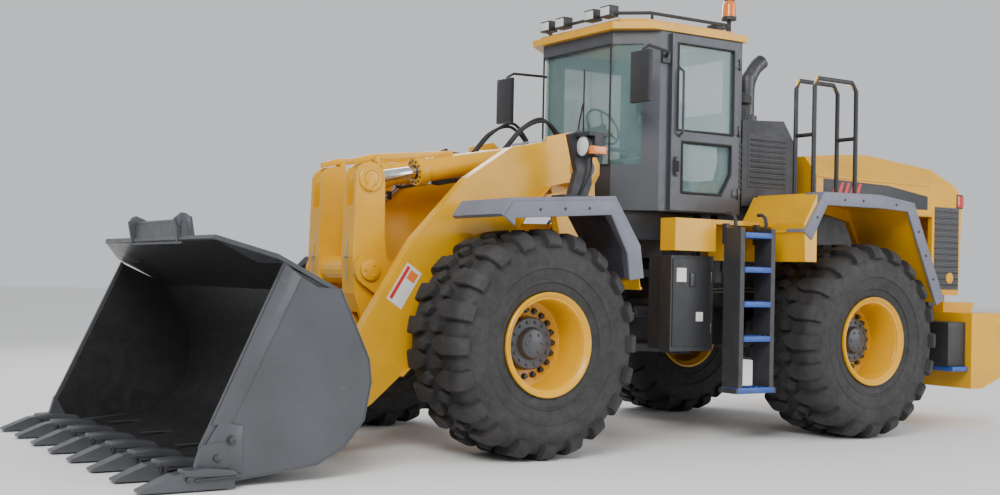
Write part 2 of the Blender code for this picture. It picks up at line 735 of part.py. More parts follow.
def build_cab_door():
    """The left door, hinged at its rear edge, with an upper and a lower window."""
    origin = (DOOR[0] - 0.02, CAB_HALF_WIDTH + 0.035, 0.0)
    add_body("cab_door_body", origin)
    y = (CAB_HALF_WIDTH + GAP, CAB_HALF_WIDTH + 0.035)
    frame = block((DOOR[0] - 0.02, DOOR[1] + 0.03), y, (DOOR[2] - 0.02, DOOR[3] + 0.02))
    upper = block((DOOR[0] + 0.06, DOOR[1] - 0.04), (0.7, 0.9), (2.76, DOOR[3] - 0.06))
    lower = plate([(-0.14, 2.20), (-0.62, 2.20), (-0.74, 2.40), (-0.74, 2.66), (-0.14, 2.66)], 0.7, 0.9)
    handle = block((DOOR[1] - 0.03, DOOR[1] - 0.01), (y[1] - 0.01, y[1] + 0.03), (2.36, 2.50))
    bar = tube(
        [
            (-0.10, y[1] - 0.005, 2.70),
            (-0.10, y[1] + 0.05, 2.74),
            (-0.10, y[1] + 0.05, 3.28),
            (-0.10, y[1] - 0.005, 3.32),
        ],
        0.012,
    )
    mesh = combined([frame], [upper, lower])
    mesh = combined([mesh, handle, bar])
    finish("cab_door", mesh, "cab_door_body", CHARCOAL, 0.45)
    pane_y = (y[0] + 0.008, y[0] + 0.008 + GLASS)
    top = block((DOOR[0] + 0.06 + GAP, DOOR[1] - 0.04 - GAP), pane_y, (2.76 + GAP, DOOR[3] - 0.06 - GAP))
    finish("door_glass", top, "cab_door_body", TINTED, 0.05, 0.0, 0.35)


def build_seat_and_console():
    """The operator's seat on its pedestal, and the steering column with its wheel, both on the cab floor."""
    floor = CAB_FLOOR_Z + 0.06 + GAP
    seat = [
        block((-0.62, -0.30), (-0.14, 0.14), (floor, 2.42)),
        block((-0.68, -0.16), (-0.25, 0.25), (2.40, 2.55)),
        plate([(-0.66, 2.50), (-0.52, 2.50), (-0.62, 3.16), (-0.74, 3.16)], -0.24, 0.24),
        plate([(-0.62, 3.10), (-0.70, 3.10), (-0.76, 3.34), (-0.68, 3.34)], -0.14, 0.14),
    ]
    finish("operator_seat", combined(seat), "rear_frame_body", BLACK, 0.8)
    column = slab((0.22, 2.06), (0.08, 2.86), 0.05, -0.06, 0.06)
    cut = block((0, 1), (-1, 1), (1.5, floor))
    base = block((0.10, 0.34), (-0.16, 0.16), (floor, 2.30))
    wheel = rod((0.115, 0, 2.83), (0.075, 0, 2.86), 0.20, 20)
    finish("steering_console", combined([base, column, wheel], [cut]), "rear_frame_body", BLACK, 0.6)


def build_mirror(side, sign):
    """A mirror on its arm from the cab's front corner."""
    pad = block((0.01, 0.10), (CAB_HALF_WIDTH + GAP, CAB_HALF_WIDTH + 0.03), (3.35, 3.45))
    y = CAB_HALF_WIDTH + 0.02
    arm = tube(
        [
            (0.055, y, 3.40),
            (0.12, y + 0.10, 3.43),
            (0.42, 1.01, 3.44),
            (0.49, 1.02, 3.40),
            (0.50, 1.02, 3.18),
        ],
        0.014,
        1,
    )
    glass = block((0.49, 0.53), (0.90, 1.14), (2.94, 3.38))
    mesh = combined([pad, arm, glass])
    mesh = mesh if sign > 0 else mirrored(mesh, keep=False)
    finish(f"mirror_{side}", mesh, "rear_frame_body", BLACK, 0.4)


# Hood

HOOD_HINGE = (-3.94, 0.0, 1.50)
HOOD_TOP = [
    (-1.92, 2.13),
    (-1.92, 2.66),
    (-2.54, 2.72),
    (-2.90, 2.74),
    (-3.80, 2.64),
    (-4.10, 2.40),
    (-4.14, 2.20),
    (-4.10, 1.32),
    (-3.66, 1.32),
    (-3.66, 2.13),
]


def hood_slope(inset):
    """What slopes the hood's upper sides, as (y, z) points, moved in by an inset for the inner surface."""
    return [(0.81 - inset, 2.46 - inset), (0.81 - inset, 3.00), (0.40, 3.00), (0.56 - inset, 2.76 - inset)]


def build_hood():
    """The tilting engine hood: a hollow cover with sloping sides, open below, and its rear grille housing."""
    add_body("hood_body", HOOD_HINGE)
    outside = plate(HOOD_TOP, -0.80, 0.80)
    inside = plate(
        [
            (-1.97, 2.00),
            (-1.97, 2.60),
            (-2.54, 2.66),
            (-2.90, 2.68),
            (-3.78, 2.58),
            (-4.02, 2.36),
            (-4.05, 1.20),
            (-3.60, 1.20),
            (-3.60, 2.0),
        ],
        -0.75,
        0.75,
    )
    slopes = both_sides([plate(hood_slope(0.0), -4.5, -1.5, "x")])
    inside = combined([inside], both_sides([plate(hood_slope(0.045), -4.6, -1.4, "x")]))
    holes = both_sides([cross_hole((HOOD_HINGE[0], HOOD_HINGE[2]), 0.70, 0.90)])
    notches = both_sides([block((-4.30, -4.00), (0.64, 0.72), (1.20, 1.78))])
    shell = combined([outside], [*slopes, inside, *holes, *notches])
    finish("hood", shell, "hood_body", YELLOW, 0.4)


# Front frame


def build_front_frame():
    """The front frame: a box over the axle, the loader tower with its boom pins, and the front hitch ears."""
    low = AXLE_HEIGHT + AXLE_SEAT + GAP
    chassis = plate(
        [(0.34, 0.84), (0.62, 0.84), (1.38, low), (2.02, low), (2.02, 1.24), (1.40, 1.34), (0.34, 1.58)],
        -0.36,
        0.36,
    )
    tower = plate(tower_outline(), 0.58, 0.61)
    cheek = plate(
        [(0.62, 1.20), (0.98, 1.20), (0.94, 1.62), (0.86, 1.68), (0.74, 1.68), (0.62, 1.60)], 0.34, 0.39
    )
    base_web = block((0.62, 0.80), (0.30, 0.60), (0.96, 1.30))
    boss = cross_rod(BOOM_PIVOT, 0.54, ARM_INNER_Y - GAP, 0.15)
    pin = cross_pin(BOOM_PIVOT, 0.56, ARM_OUTER_Y + 0.035)
    lugs = [
        plate(tilt_lug_outline(), LEVER_Y - 0.075, LEVER_Y - 0.055),
        plate(tilt_lug_outline(), LEVER_Y + 0.055, LEVER_Y + 0.075),
    ]
    tie_low = block((0.66, 0.84), (-0.60, 0.60), (2.06, 2.30))
    tie_top = block((0.74, 0.90), (-0.60, 0.60), (2.44, 2.60))
    lift_pin = cross_pin(LIFT_BASE_PIVOT, 0.37, 0.59)
    ears = [plate(hitch_outline(0.40), z, z + 0.05, "z") for z in (0.85, 1.37)]
    hitch_pin = rod((0, 0, 0.70), (0, 0, 1.56), PIN_RADIUS, PIN_SIDES, phase=pi / PIN_SIDES)
    notches = both_sides([block((0.20, 0.46), (0.19, 0.50), (STEER_Z - 0.08, STEER_Z + 0.08))])
    pieces = [chassis, *both_sides([tower, cheek, base_web, boss, pin, *lugs, lift_pin]), tie_low, tie_top]
    mesh = combined([*pieces, *ears, hitch_pin], notches)
    finish("front_frame", mesh, "front_frame_body", YELLOW, 0.4)


def tower_outline():
    """One side plate of the loader tower, from the chassis up to the boom pivot."""
    front = [(0.84, 0.96), (0.96, 1.20), (1.04, 1.60), (1.22, 2.30), (1.20, 2.62)]
    return [(0.58, 0.96), *front, (0.94, 2.68), (0.70, 2.50), (0.64, 1.90), (0.58, 1.50)]


def tilt_lug_outline():
    """A lug that carries the base of a tilt cylinder."""
    tip = arc(TILT_BASE_PIVOT, 0.09, 100, -80, 6)
    return [(0.76, 2.58), *tip, (0.76, 2.20)]


FRONT_FENDER_PATH = [(2.32, 1.86), (2.24, 1.97), (1.27, 2.03), (1.02, 1.67), (0.98, 1.42)]


def build_front_fender(side, sign):
    """A front mudguard: a bent sheet over the tyre with an inner edge, held by a bracket on the tower."""
    sheet = plate(strip(list(reversed(FRONT_FENDER_PATH)), 0.035), 0.92, 1.60)
    bracket = block((1.02, 1.10), (0.61 + GAP, 0.96), (1.70, 1.76))
    mesh = combined([sheet, bracket])
    mesh = mesh if sign > 0 else mirrored(mesh, keep=False)
    finish(f"front_fender_{side}", mesh, "front_frame_body", BAND_GREY, 0.5)


def build_headlight(side, sign):
    """A headlight pod on its stand, on top of the front mudguard's inner corner."""
    stand = plate(
        [
            (1.30, 2.045),
            (1.12, 2.045),
            (1.06, 2.20),
            (1.08, 2.52),
            (1.20, 2.64),
            (1.30, 2.60),
            (1.22, 2.30),
        ],
        1.00,
        1.06,
    )
    foot = block((1.12, 1.42), (0.98, 1.16), (2.0664 + GAP, 2.09))
    lamp = rod((1.06, 1.13, 2.50), (1.22, 1.13, 2.50), 0.085, 12)
    hood = block((1.04, 1.24), (1.02, 1.24), (2.58, 2.61))
    tie = block((1.10, 1.18), (1.02, 1.24), (2.42, 2.60))
    mesh = combined([stand, foot, lamp, hood, tie], [block((0.9, 1.6), (0.9, 1.4), (1.9, 2.0664 + GAP))])
    mesh = mesh if sign > 0 else mirrored(mesh, keep=False)
    finish(f"headlight_{side}", mesh, "front_frame_body", CHARCOAL, 0.45)


# Boom and linkage


def boom_arm_outline():
    """One boom arm from the side: a deep plate from the pivot on the tower down to the bucket pin."""
    top = [
        (0.80, 2.50),
        (0.95, 2.54),
        (1.31, 2.56),
        (1.65, 2.49),
        (2.09, 2.21),
        (2.58, 1.70),
        (3.00, 1.05),
        (3.17, 0.72),
    ]
    tip = arc(BUCKET_PIVOT, 0.17, 70, -115, 7)
    under = [
        (2.93, 0.40),
        (2.68, 0.61),
        (2.30, 0.95),
        (1.95, 1.20),
        (1.72, 1.55),
        (1.50, 1.96),
        (1.27, 2.18),
        (1.06, 2.23),
        (0.86, 2.19),
    ]
    back = arc(BOOM_PIVOT, 0.17, 225, 135, 3)
    return [*top, *tip, *under, *back]


def build_boom():
    """The lift boom: two arms joined by a cross tube that carries the ears of the two bellcranks."""
    add_body("boom_body", (BOOM_PIVOT[0], 0, BOOM_PIVOT[1]))
    arm = plate(boom_arm_outline(), ARM_INNER_Y, ARM_OUTER_Y)
    ear = plate(
        [*arc(BELLCRANK_PIVOT, 0.13, 60, -60, 5), (2.62, 1.16), (2.34, 1.24), (2.38, 1.49)], 0.41, 0.45
    )
    boss = cross_rod(LIFT_ROD_PIVOT, LIFT_Y + 0.06, ARM_INNER_Y + 0.01, 0.09)
    tube_place = (2.38, 1.36)
    cross = cross_rod(tube_place, -ARM_INNER_Y - 0.01, ARM_INNER_Y + 0.01, 0.14, 20)
    holes = both_sides(
        [
            cross_hole(BOOM_PIVOT, 0.5, 0.9),
            cross_hole(BUCKET_PIVOT, 0.5, 0.9),
            cross_hole(BELLCRANK_PIVOT, 0.38, 0.5),
        ]
    )
    mesh = combined([cross, *both_sides([arm, ear, boss])], holes)
    finish("boom", mesh, "boom_body", YELLOW, 0.4)


def build_linkage_pins():
    """The left pin of the bucket's lower pivot, and the shafts through the bellcranks and the bucket links."""
    link_reach = LEVER_Y + LINK_HALF_WIDTH + 0.06
    shafts = (
        ("bucket_hinge_pin", BUCKET_PIVOT, PIN_INNER_Y, PIN_OUTER_Y),
        ("bellcrank_pin", BELLCRANK_PIVOT, -0.47, 0.47),
        ("link_pin", BUCKET_TOP_PIVOT, -link_reach, link_reach),
    )
    for name, place, low, high in shafts:
        add_body(f"{name}_body", (place[0], 0, place[1]))
        finish(name, cross_pin(place, low, high), f"{name}_body", CHROME, 0.3, 1.0)


def lever_outline():
    """A bellcrank lever from the side, from its rounded top to its lower end."""
    top = arc(LEVER_TOP_PIVOT, 0.135, -10, 190, 8)
    low = arc(LEVER_LOW_PIVOT, 0.11, 160, 350, 6)
    back = [(2.66, 1.70), (2.62, 1.44), (2.56, 1.10)]
    front = [(2.82, 0.95), (2.93, 1.25), (2.95, 1.55)]
    return [*top, *back, *low, *front]


def build_bellcranks():
    """Both bellcrank levers on one hub tube: each forked at the top for its cylinder and below for its link."""
    add_body("bellcranks_body", (BELLCRANK_PIVOT[0], 0, BELLCRANK_PIVOT[1]))
    inner, outer = LEVER_Y - LEVER_HALF_WIDTH, LEVER_Y + LEVER_HALF_WIDTH
    eye_gap = TILT_EYE_HALF_WIDTH + 0.005
    link_gap = LINK_HALF_WIDTH + 0.006
    top_slot = block((2.5, 3.2), (LEVER_Y - eye_gap, LEVER_Y + eye_gap), (1.96, 2.5))
    low_slot = block((2.3, 3.2), (LEVER_Y - link_gap, LEVER_Y + link_gap), (0.3, 1.10))
    lever = combined([plate(lever_outline(), inner, outer)], [top_slot, low_slot])
    caps = [cross_rod(LEVER_LOW_PIVOT, outer - 0.012, outer + 0.02, 0.066, 10)]
    caps.append(cross_rod(LEVER_LOW_PIVOT, inner - 0.02, inner + 0.012, 0.066, 10))
    hub = cross_rod(BELLCRANK_PIVOT, -outer + 0.008, outer - 0.008, 0.115, 20)
    hole = cross_hole(BELLCRANK_PIVOT, -0.6, 0.6)
    mesh = combined([hub, *both_sides([lever, *caps])], [hole])
    finish("bellcranks", mesh, "bellcranks_body", YELLOW, 0.4)


def build_links():
    """The two links from the bellcranks' lower ends to the bucket."""
    for side, sign in SIDES.items():
        add_body(f"bucket_link_{side}_body", (BUCKET_TOP_PIVOT[0], 0, BUCKET_TOP_PIVOT[1]))
        rise = BUCKET_TOP_PIVOT[1] - LEVER_LOW_PIVOT[1]
        angle = atan2(rise, BUCKET_TOP_PIVOT[0] - LEVER_LOW_PIVOT[0])
        across = Vector((-sin(angle), cos(angle))) * 0.06
        waist = [
            Vector(along(LEVER_LOW_PIVOT, BUCKET_TOP_PIVOT, 0.20)),
            Vector(along(BUCKET_TOP_PIVOT, LEVER_LOW_PIVOT, 0.13)),
        ]
        turn = angle * 180 / pi
        outline = [
            *arc(LEVER_LOW_PIVOT, 0.095, turn + 80, turn + 280, 7),
            *[tuple(point - across) for point in waist],
            *arc(BUCKET_TOP_PIVOT, 0.085, turn - 110, turn + 110, 7),
            *[tuple(point + across) for point in reversed(waist)],
        ]
        low, high = sorted((sign * (LEVER_Y - LINK_HALF_WIDTH), sign * (LEVER_Y + LINK_HALF_WIDTH)))
        link = plate(outline, low, high)
        hole = cross_hole(BUCKET_TOP_PIVOT, -0.5, 0.5)
        finish(f"bucket_link_{side}", combined([link], [hole]), f"bucket_link_{side}_body", YELLOW, 0.4)


# Bucket

EDGE_BACK = (4.45, 0.045)
EDGE_TIP = (4.80, 0.022)
EDGE_THICKNESS = 0.03
EDGE_OVERHANG = 0.025
BUCKET_PATH = [
    EDGE_BACK,
    (3.89, 0.11),
    (3.68, 0.22),
    (3.53, 0.40),
    (3.48, 0.66),
    (3.50, 0.82),
    (3.61, 1.05),
    (3.73, 1.30),
    (4.455, 1.656),
]
BUCKET_SIDE = [(4.73, 0.27), (4.67, 0.39), (4.16, 1.47), (4.02, 1.37), (3.91, 1.31)]


def tooth_outline():
    """A bucket tooth on its adapter from the side."""
    point = [(4.86, 0.012), (TOOTH_TIP_X, 0.014), (TOOTH_TIP_X, 0.030), (4.93, 0.115)]
    return [(4.52, 0.012), *point, (4.80, TOOTH_HEIGHT), (4.52, 0.105)]


def above_edge(x):
    """The (x, z) point that a plate standing on the cutting edge reaches down to."""
    slope = (EDGE_BACK[1] - EDGE_TIP[1]) / (EDGE_TIP[0] - EDGE_BACK[0])
    return (x, EDGE_TIP[1] + (EDGE_TIP[0] - x) * slope + EDGE_THICKNESS + GAP)


def build_cutting_edge():
    """The cutting edge under the bucket's lip: a flat plate with its teeth on their adapters."""
    back = EDGE_BACK[0] + 0.004
    tip_top = EDGE_TIP[1] + EDGE_THICKNESS
    blade = [(back, EDGE_BACK[1]), EDGE_TIP, (EDGE_TIP[0], tip_top), (back, above_edge(back)[1] - GAP)]
    reach = BUCKET_HALF_WIDTH + EDGE_OVERHANG
    pitch = 2 * CORNER_TOOTH_Y / (TOOTH_COUNT - 1)
    places = [-CORNER_TOOTH_Y + index * pitch for index in range(TOOTH_COUNT)]
    teeth = [plate(tooth_outline(), y - TOOTH_HALF_WIDTH, y + TOOTH_HALF_WIDTH) for y in places]
    finish(
        "cutting_edge",
        combined([plate(blade, -reach, reach), *teeth]),
        "bucket_body",
        BUCKET_GREY,
        0.5,
        0.3,
    )


def build_bucket():
    """The bucket: a curved shell between side plates, with its guard and its rear ears."""
    add_body("bucket_body", (BUCKET_PIVOT[0], 0, BUCKET_PIVOT[1]))
    inner_y = BUCKET_HALF_WIDTH - BUCKET_PLATE
    shell = plate(strip(list(reversed(BUCKET_PATH)), BUCKET_PLATE), -inner_y - 0.005, inner_y + 0.005)
    rim = [*reversed(BUCKET_PATH[:-1]), above_edge(EDGE_BACK[0]), above_edge(4.72)]
    side = plate([*BUCKET_SIDE, *rim], inner_y, BUCKET_HALF_WIDTH)
    corners = both_sides(
        [plate([(4.122, 1.806), (4.511, 1.110), (4.80, 1.95)], 1.42, 1.90, "z")]
    )
    cheek = [above_edge(4.52), above_edge(4.79), (4.72, 0.29), (4.56, 0.30)]
    cheeks = both_sides([plate(cheek, inner_y + 0.004, BUCKET_HALF_WIDTH + EDGE_OVERHANG)])
    tooth_inner = CORNER_TOOTH_Y - TOOTH_HALF_WIDTH - GAP
    seats = both_sides([block((4.52 - GAP, 4.95), (tooth_inner, 1.90), (0.0, TOOTH_HEIGHT + GAP))])
    guard = block((4.40, 4.45), (-0.55, 0.55), (1.60, 1.76))
    guard_ears = both_sides(
        [plate([(4.32, 1.58), (4.47, 1.62), (4.50, 1.78), (4.44, 1.83), (4.36, 1.80)], 0.49, 0.52)]
    )
    inner_ears = [plate(boom_ear_outline(), y, y + 0.035) for y in (0.585, 0.74)]
    near, far = LEVER_Y - LINK_HALF_WIDTH - GAP, LEVER_Y + LINK_HALF_WIDTH + GAP
    link_ears = [plate(link_ear_outline(), near - 0.035, near), plate(link_ear_outline(), far, far + 0.035)]
    holes = [cross_hole(BUCKET_PIVOT, 0.5, 0.9), cross_hole(BUCKET_TOP_PIVOT, -0.9, 0.9)]
    right_pin = cross_pin(BUCKET_PIVOT, -PIN_OUTER_Y, -PIN_INNER_Y)
    solid = combined([shell, *both_sides([side])], corners)
    pieces = [solid, *cheeks, guard, *guard_ears, *both_sides([*inner_ears, *link_ears]), right_pin]
    mesh = combined(pieces, [*holes, *seats])
    finish("bucket", mesh, "bucket_body", BUCKET_GREY, 0.5, 0.3)


def boom_ear_outline():
    """A bucket ear beside the boom's tip."""
    return [*arc(BUCKET_PIVOT, 0.14, 110, 265, 6), (3.62, 0.30), (3.545, 0.40), (3.495, 0.66), (3.50, 0.74)]


def link_ear_outline():
    """A bucket ear beside a link's end."""
    return [
        *arc(BUCKET_TOP_PIVOT, 0.09, 120, 250, 4), (3.495, 0.66), (3.515, 0.82), (3.60, 1.02), (3.62, 1.06)
    ]


# Cylinders


def build_lift_cylinders():
    """The lift cylinders: each barrel hangs on the front frame and its rod reaches the boom arm."""
    base, tip = LIFT_BASE_PIVOT, LIFT_ROD_PIVOT
    head = along(base, tip, 1.14)
    for side, sign in SIDES.items():
        y = sign * LIFT_Y
        low, high = sorted((y - 0.055, y + 0.055))
        add_body(f"lift_barrel_{side}_body", (base[0], 0, base[1]))
        add_body(f"lift_rod_{side}_body", (tip[0], 0, tip[1]))
        foot = along(base, tip, 0.13)
        barrel = rod((foot[0], y, foot[1]), (head[0], y, head[1]), 0.09, ROUND_SIDES)
        eye = cross_rod(base, low, high, 0.10)
        neck = slab(base, along(base, tip, 0.16), 0.07, low, high)
        start = along(base, tip, 0.18)
        far = along(base, tip, 1.30)
        bore = rod((start[0], y, start[1]), (far[0], y, far[1]), 0.0505, PIN_SIDES)
        pin_hole = cross_hole(base, low - 0.05, high + 0.05)
        barrel_mesh = combined([barrel, eye, neck], [bore, pin_hole])
        finish(f"lift_barrel_{side}", barrel_mesh, f"lift_barrel_{side}_body", YELLOW, 0.4)
        inside = along(base, tip, 0.21)
        shaft = rod((inside[0], y, inside[1]), (tip[0], y, tip[1]), 0.050, PIN_SIDES)
        rod_eye = cross_rod(tip, low, high, 0.085)
        finish(f"lift_rod_{side}", combined([shaft, rod_eye]), f"lift_rod_{side}_body", CHROME, 0.15, 1.0)


def build_tilt_cylinders():
    """The tilt cylinders: each barrel hangs on the tower and its rod reaches the top of a bellcrank."""
    base, tip = TILT_BASE_PIVOT, LEVER_TOP_PIVOT
    head_distance = 1.30
    for side, sign in SIDES.items():
        y = sign * LEVER_Y
        low, high = y - TILT_EYE_HALF_WIDTH, y + TILT_EYE_HALF_WIDTH
        add_body(f"tilt_barrel_{side}_body", (base[0], 0, base[1]))
        add_body(f"tilt_rod_{side}_body", (tip[0], 0, tip[1]))
        foot = along(base, tip, 0.14)
        head = along(base, tip, head_distance)
        ring = along(base, tip, head_distance - 0.09)
        barrel = rod((foot[0], y, foot[1]), (head[0], y, head[1]), 0.095, ROUND_SIDES)
        collar = rod((ring[0], y, ring[1]), (head[0], y, head[1]), 0.112, ROUND_SIDES)
        eye = cross_rod(base, y - 0.055 + GAP, y + 0.055 - GAP, 0.075)
        neck = slab(base, along(base, tip, 0.17), 0.05, y - 0.055 + GAP, y + 0.055 - GAP)
        start = along(base, tip, 0.20)
        far = along(base, tip, head_distance + 0.1)
        bore = rod((start[0], y, start[1]), (far[0], y, far[1]), 0.0505, PIN_SIDES)
        mesh = combined([barrel, collar, eye, neck], [bore])
        finish(f"tilt_barrel_{side}", mesh, f"tilt_barrel_{side}_body", YELLOW, 0.4)
        inside = along(base, tip, 0.46)
        shaft = rod((inside[0], y, inside[1]), (tip[0], y, tip[1]), 0.050, PIN_SIDES)
        rod_eye = cross_rod(tip, low, high, 0.09)
        finish(f"tilt_rod_{side}", combined([shaft, rod_eye]), f"tilt_rod_{side}_body", CHROME, 0.15, 1.0)


def build_steering_cylinders():
    """The steering cylinders: each barrel sits on the rear frame and its rod reaches the front frame."""
    for side, sign in SIDES.items():
        base = (STEER_BASE[0], sign * STEER_BASE[1])
        tip = (STEER_TIP[0], sign * STEER_TIP[1])
        add_body(f"steer_barrel_{side}_body", (base[0], base[1], STEER_Z))
        add_body(f"steer_rod_{side}_body", (tip[0], tip[1], STEER_Z))
        foot, head = along(base, tip, 0.05), along(base, tip, 0.59)
        barrel = rod((*foot, STEER_Z), (*head, STEER_Z), 0.055, 12)
        eye = rod((*base, STEER_Z - 0.06), (*base, STEER_Z + 0.06), 0.06, 12)
        start, far = along(base, tip, 0.10), along(base, tip, 0.8)
        bore = rod((*start, STEER_Z), (*far, STEER_Z), 0.0305, 8)
        mesh = combined([barrel, eye], [bore])
        finish(f"steer_barrel_{side}", mesh, f"steer_barrel_{side}_body", YELLOW, 0.4)
        inside = along(base, tip, 0.35)
        shaft = rod((*inside, STEER_Z), (*tip, STEER_Z), 0.030, 8)
        rod_eye = rod((*tip, STEER_Z - 0.05), (*tip, STEER_Z + 0.05), 0.05, 12)
        finish(f"steer_rod_{side}", combined([shaft, rod_eye]), f"steer_rod_{side}_body", CHROME, 0.15, 1.0)


def build_rear_body():
    """Everything that the rear frame carries without a joint."""
    build_rear_frame()
    build_counterweight()
    finish("rear_axle", axle_mesh(REAR_AXLE_X), "rear_frame_body", CHARCOAL, 0.5)
    build_engine()
    build_deck_cover()
    build_exhaust()
    build_cab_shell()
    build_cab_roof()
    build_roof_rail()
    build_cab_glass()
    build_seat_and_console()
    for side, sign in SIDES.items():
        build_side_box(side, sign)
        build_platform(side, sign)
        build_ladder(side, sign)
        build_mirror(side, sign)


def build_front_body():
    """Everything that the front frame carries without a joint."""
    build_front_frame()
    finish("front_axle", axle_mesh(FRONT_AXLE_X), "front_frame_body", CHARCOAL, 0.5)
    for side, sign in SIDES.items():
        build_front_fender(side, sign)
        build_headlight(side, sign)


clear_scene()
PARTS = new_collection("wheel_loader")
HELPERS = new_collection("helpers")
BODIES = {}
ROOT = bpy.data.objects.new("wheel_loader", None)
PARTS.objects.link(ROOT)
ROOT.location = (-LENGTH_CENTRE_X, 0.0, 0.0)
add_body("rear_frame_body", (0.0, 0.0, 0.0))
add_body("front_frame_body", (0.0, 0.0, 0.0))
build_rear_body()
build_hood()
build_cab_door()
build_front_body()
build_boom()
build_linkage_pins()
build_bellcranks()
build_links()
build_bucket()
build_cutting_edge()
build_lift_cylinders()
build_tilt_cylinders()
build_steering_cylinders()
build_wheels()
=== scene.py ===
"""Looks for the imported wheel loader: materials, tyre tread, glass, hoses and fittings around the fixed frame.

Places are in metres from the articulation pivot: X forward, Y to the machine's left, Z up. The function place
moves a finished mesh by the pivot's own place in the frame.
"""

import math
from math import cos, pi, radians, sin

import bmesh
import bpy
from mathutils import Matrix, Vector
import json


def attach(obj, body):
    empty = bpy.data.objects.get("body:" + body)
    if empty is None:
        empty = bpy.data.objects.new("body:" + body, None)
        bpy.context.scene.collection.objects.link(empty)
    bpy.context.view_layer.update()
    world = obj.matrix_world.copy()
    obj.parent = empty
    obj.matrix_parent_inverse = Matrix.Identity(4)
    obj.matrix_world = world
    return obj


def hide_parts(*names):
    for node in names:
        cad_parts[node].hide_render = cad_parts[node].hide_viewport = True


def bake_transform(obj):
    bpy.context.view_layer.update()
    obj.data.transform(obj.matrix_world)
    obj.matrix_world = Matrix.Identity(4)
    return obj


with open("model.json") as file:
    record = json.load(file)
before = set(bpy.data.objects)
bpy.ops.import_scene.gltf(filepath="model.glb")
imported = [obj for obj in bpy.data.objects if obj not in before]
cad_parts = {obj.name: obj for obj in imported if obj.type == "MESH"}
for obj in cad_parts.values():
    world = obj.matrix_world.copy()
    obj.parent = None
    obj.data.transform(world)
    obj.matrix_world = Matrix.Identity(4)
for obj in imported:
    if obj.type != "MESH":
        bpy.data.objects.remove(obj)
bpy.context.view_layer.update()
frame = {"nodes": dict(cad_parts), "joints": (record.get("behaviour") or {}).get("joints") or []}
NODES = frame["nodes"]
JOINTS = {joint["name"]: joint for joint in frame["joints"]}
PIVOT = Vector((JOINTS["articulation"]["pos_m"][0], 0.0, 0.0))
SIDES = {"left": 1, "right": -1}
REAR, FRONT = "rear_frame_body", "front_frame_body"


def pivot_of(joint):
    """A joint's (x, z) place, measured from the articulation pivot."""
    place = Vector(JOINTS[joint]["pos_m"]) - PIVOT
    return (place.x, place.z)


BOOM_PIVOT = pivot_of("boom_lift")
BUCKET_PIVOT = pivot_of("bucket_tilt")
CRANK_PIVOT = pivot_of("bellcrank_turn")
LINK_PIVOT = pivot_of("link_shift")
WHEELS = {
    f"{end}_{side}": Vector(JOINTS[f"{end}_wheel_spin_{side}"]["pos_m"]) - PIVOT
    for end in ("front", "rear")
    for side in SIDES
}
AXLE_Z = WHEELS["front_left"].z

# Materials


def material(name):
    """A new node material: (material, tree, Principled shader)."""
    made = bpy.data.materials.new(name)
    made.use_nodes = True
    tree = made.node_tree
    return made, tree, tree.nodes["Principled BSDF"]


def node(tree, kind, **values):
    """A shader node with its inputs and properties set by name."""
    made = tree.nodes.new(kind)
    for key, value in values.items():
        if key in made.inputs:
            made.inputs[key].default_value = value
        else:
            setattr(made, key, value)
    return made


def noise(tree, scale, detail=4.0, rough=0.55, stretch=(1, 1, 1)):
    """Noise in the piece's own coordinates."""
    where = node(tree, "ShaderNodeTexCoord")
    mapping = node(tree, "ShaderNodeMapping", Scale=stretch)
    tree.links.new(where.outputs["Object"], mapping.inputs["Vector"])
    made = node(tree, "ShaderNodeTexNoise", Scale=scale, Detail=detail, Roughness=rough)
    tree.links.new(mapping.outputs["Vector"], made.inputs["Vector"])
    return made.outputs["Fac"]


def ramp(tree, source, stops):
    """A colour ramp of (position, colour) stops driven by a value."""
    made = node(tree, "ShaderNodeValToRGB")
    elements = made.color_ramp.elements
    while len(elements) < len(stops):
        elements.new(0.5)
    for element, (position, colour) in zip(elements, stops):
        element.position = position
        element.color = (*colour, 1.0)
    tree.links.new(source, made.inputs["Fac"])
    return made.outputs["Color"]


def mixed(tree, factor, first, second):
    """Two colours mixed by a factor. Each may be an output or a plain colour."""
    made = node(tree, "ShaderNodeMix", data_type="RGBA")
    for socket, value in ((made.inputs[0], factor), (made.inputs[6], first), (made.inputs[7], second)):
        if isinstance(value, bpy.types.NodeSocket):
            tree.links.new(value, socket)
        else:
            socket.default_value = value if isinstance(value, float) else (*value, 1.0)
    return made.outputs[2]


def ranged(tree, source, low, high, start=0.0, end=1.0):
    """A value moved from one range to another and kept inside it."""
    made = node(tree, "ShaderNodeMapRange")
    for name, value in (("From Min", low), ("From Max", high), ("To Min", start), ("To Max", end)):
        made.inputs[name].default_value = value
    tree.links.new(source, made.inputs["Value"])
    return made.outputs["Result"]


def bumped(tree, shader, source, strength, distance):
    """Bump on a shader from a height. A second call adds to the first."""
    made = node(tree, "ShaderNodeBump", Strength=strength, Distance=distance)
    tree.links.new(source, made.inputs["Height"])
    if shader.inputs["Normal"].is_linked:
        tree.links.new(shader.inputs["Normal"].links[0].from_socket, made.inputs["Normal"])
    tree.links.new(made.outputs["Normal"], shader.inputs["Normal"])


def height(tree):
    """The piece's own Z."""
    where = node(tree, "ShaderNodeTexCoord")
    split = node(tree, "ShaderNodeSeparateXYZ")
    tree.links.new(where.outputs["Object"], split.inputs["Vector"])
    return split.outputs["Z"]


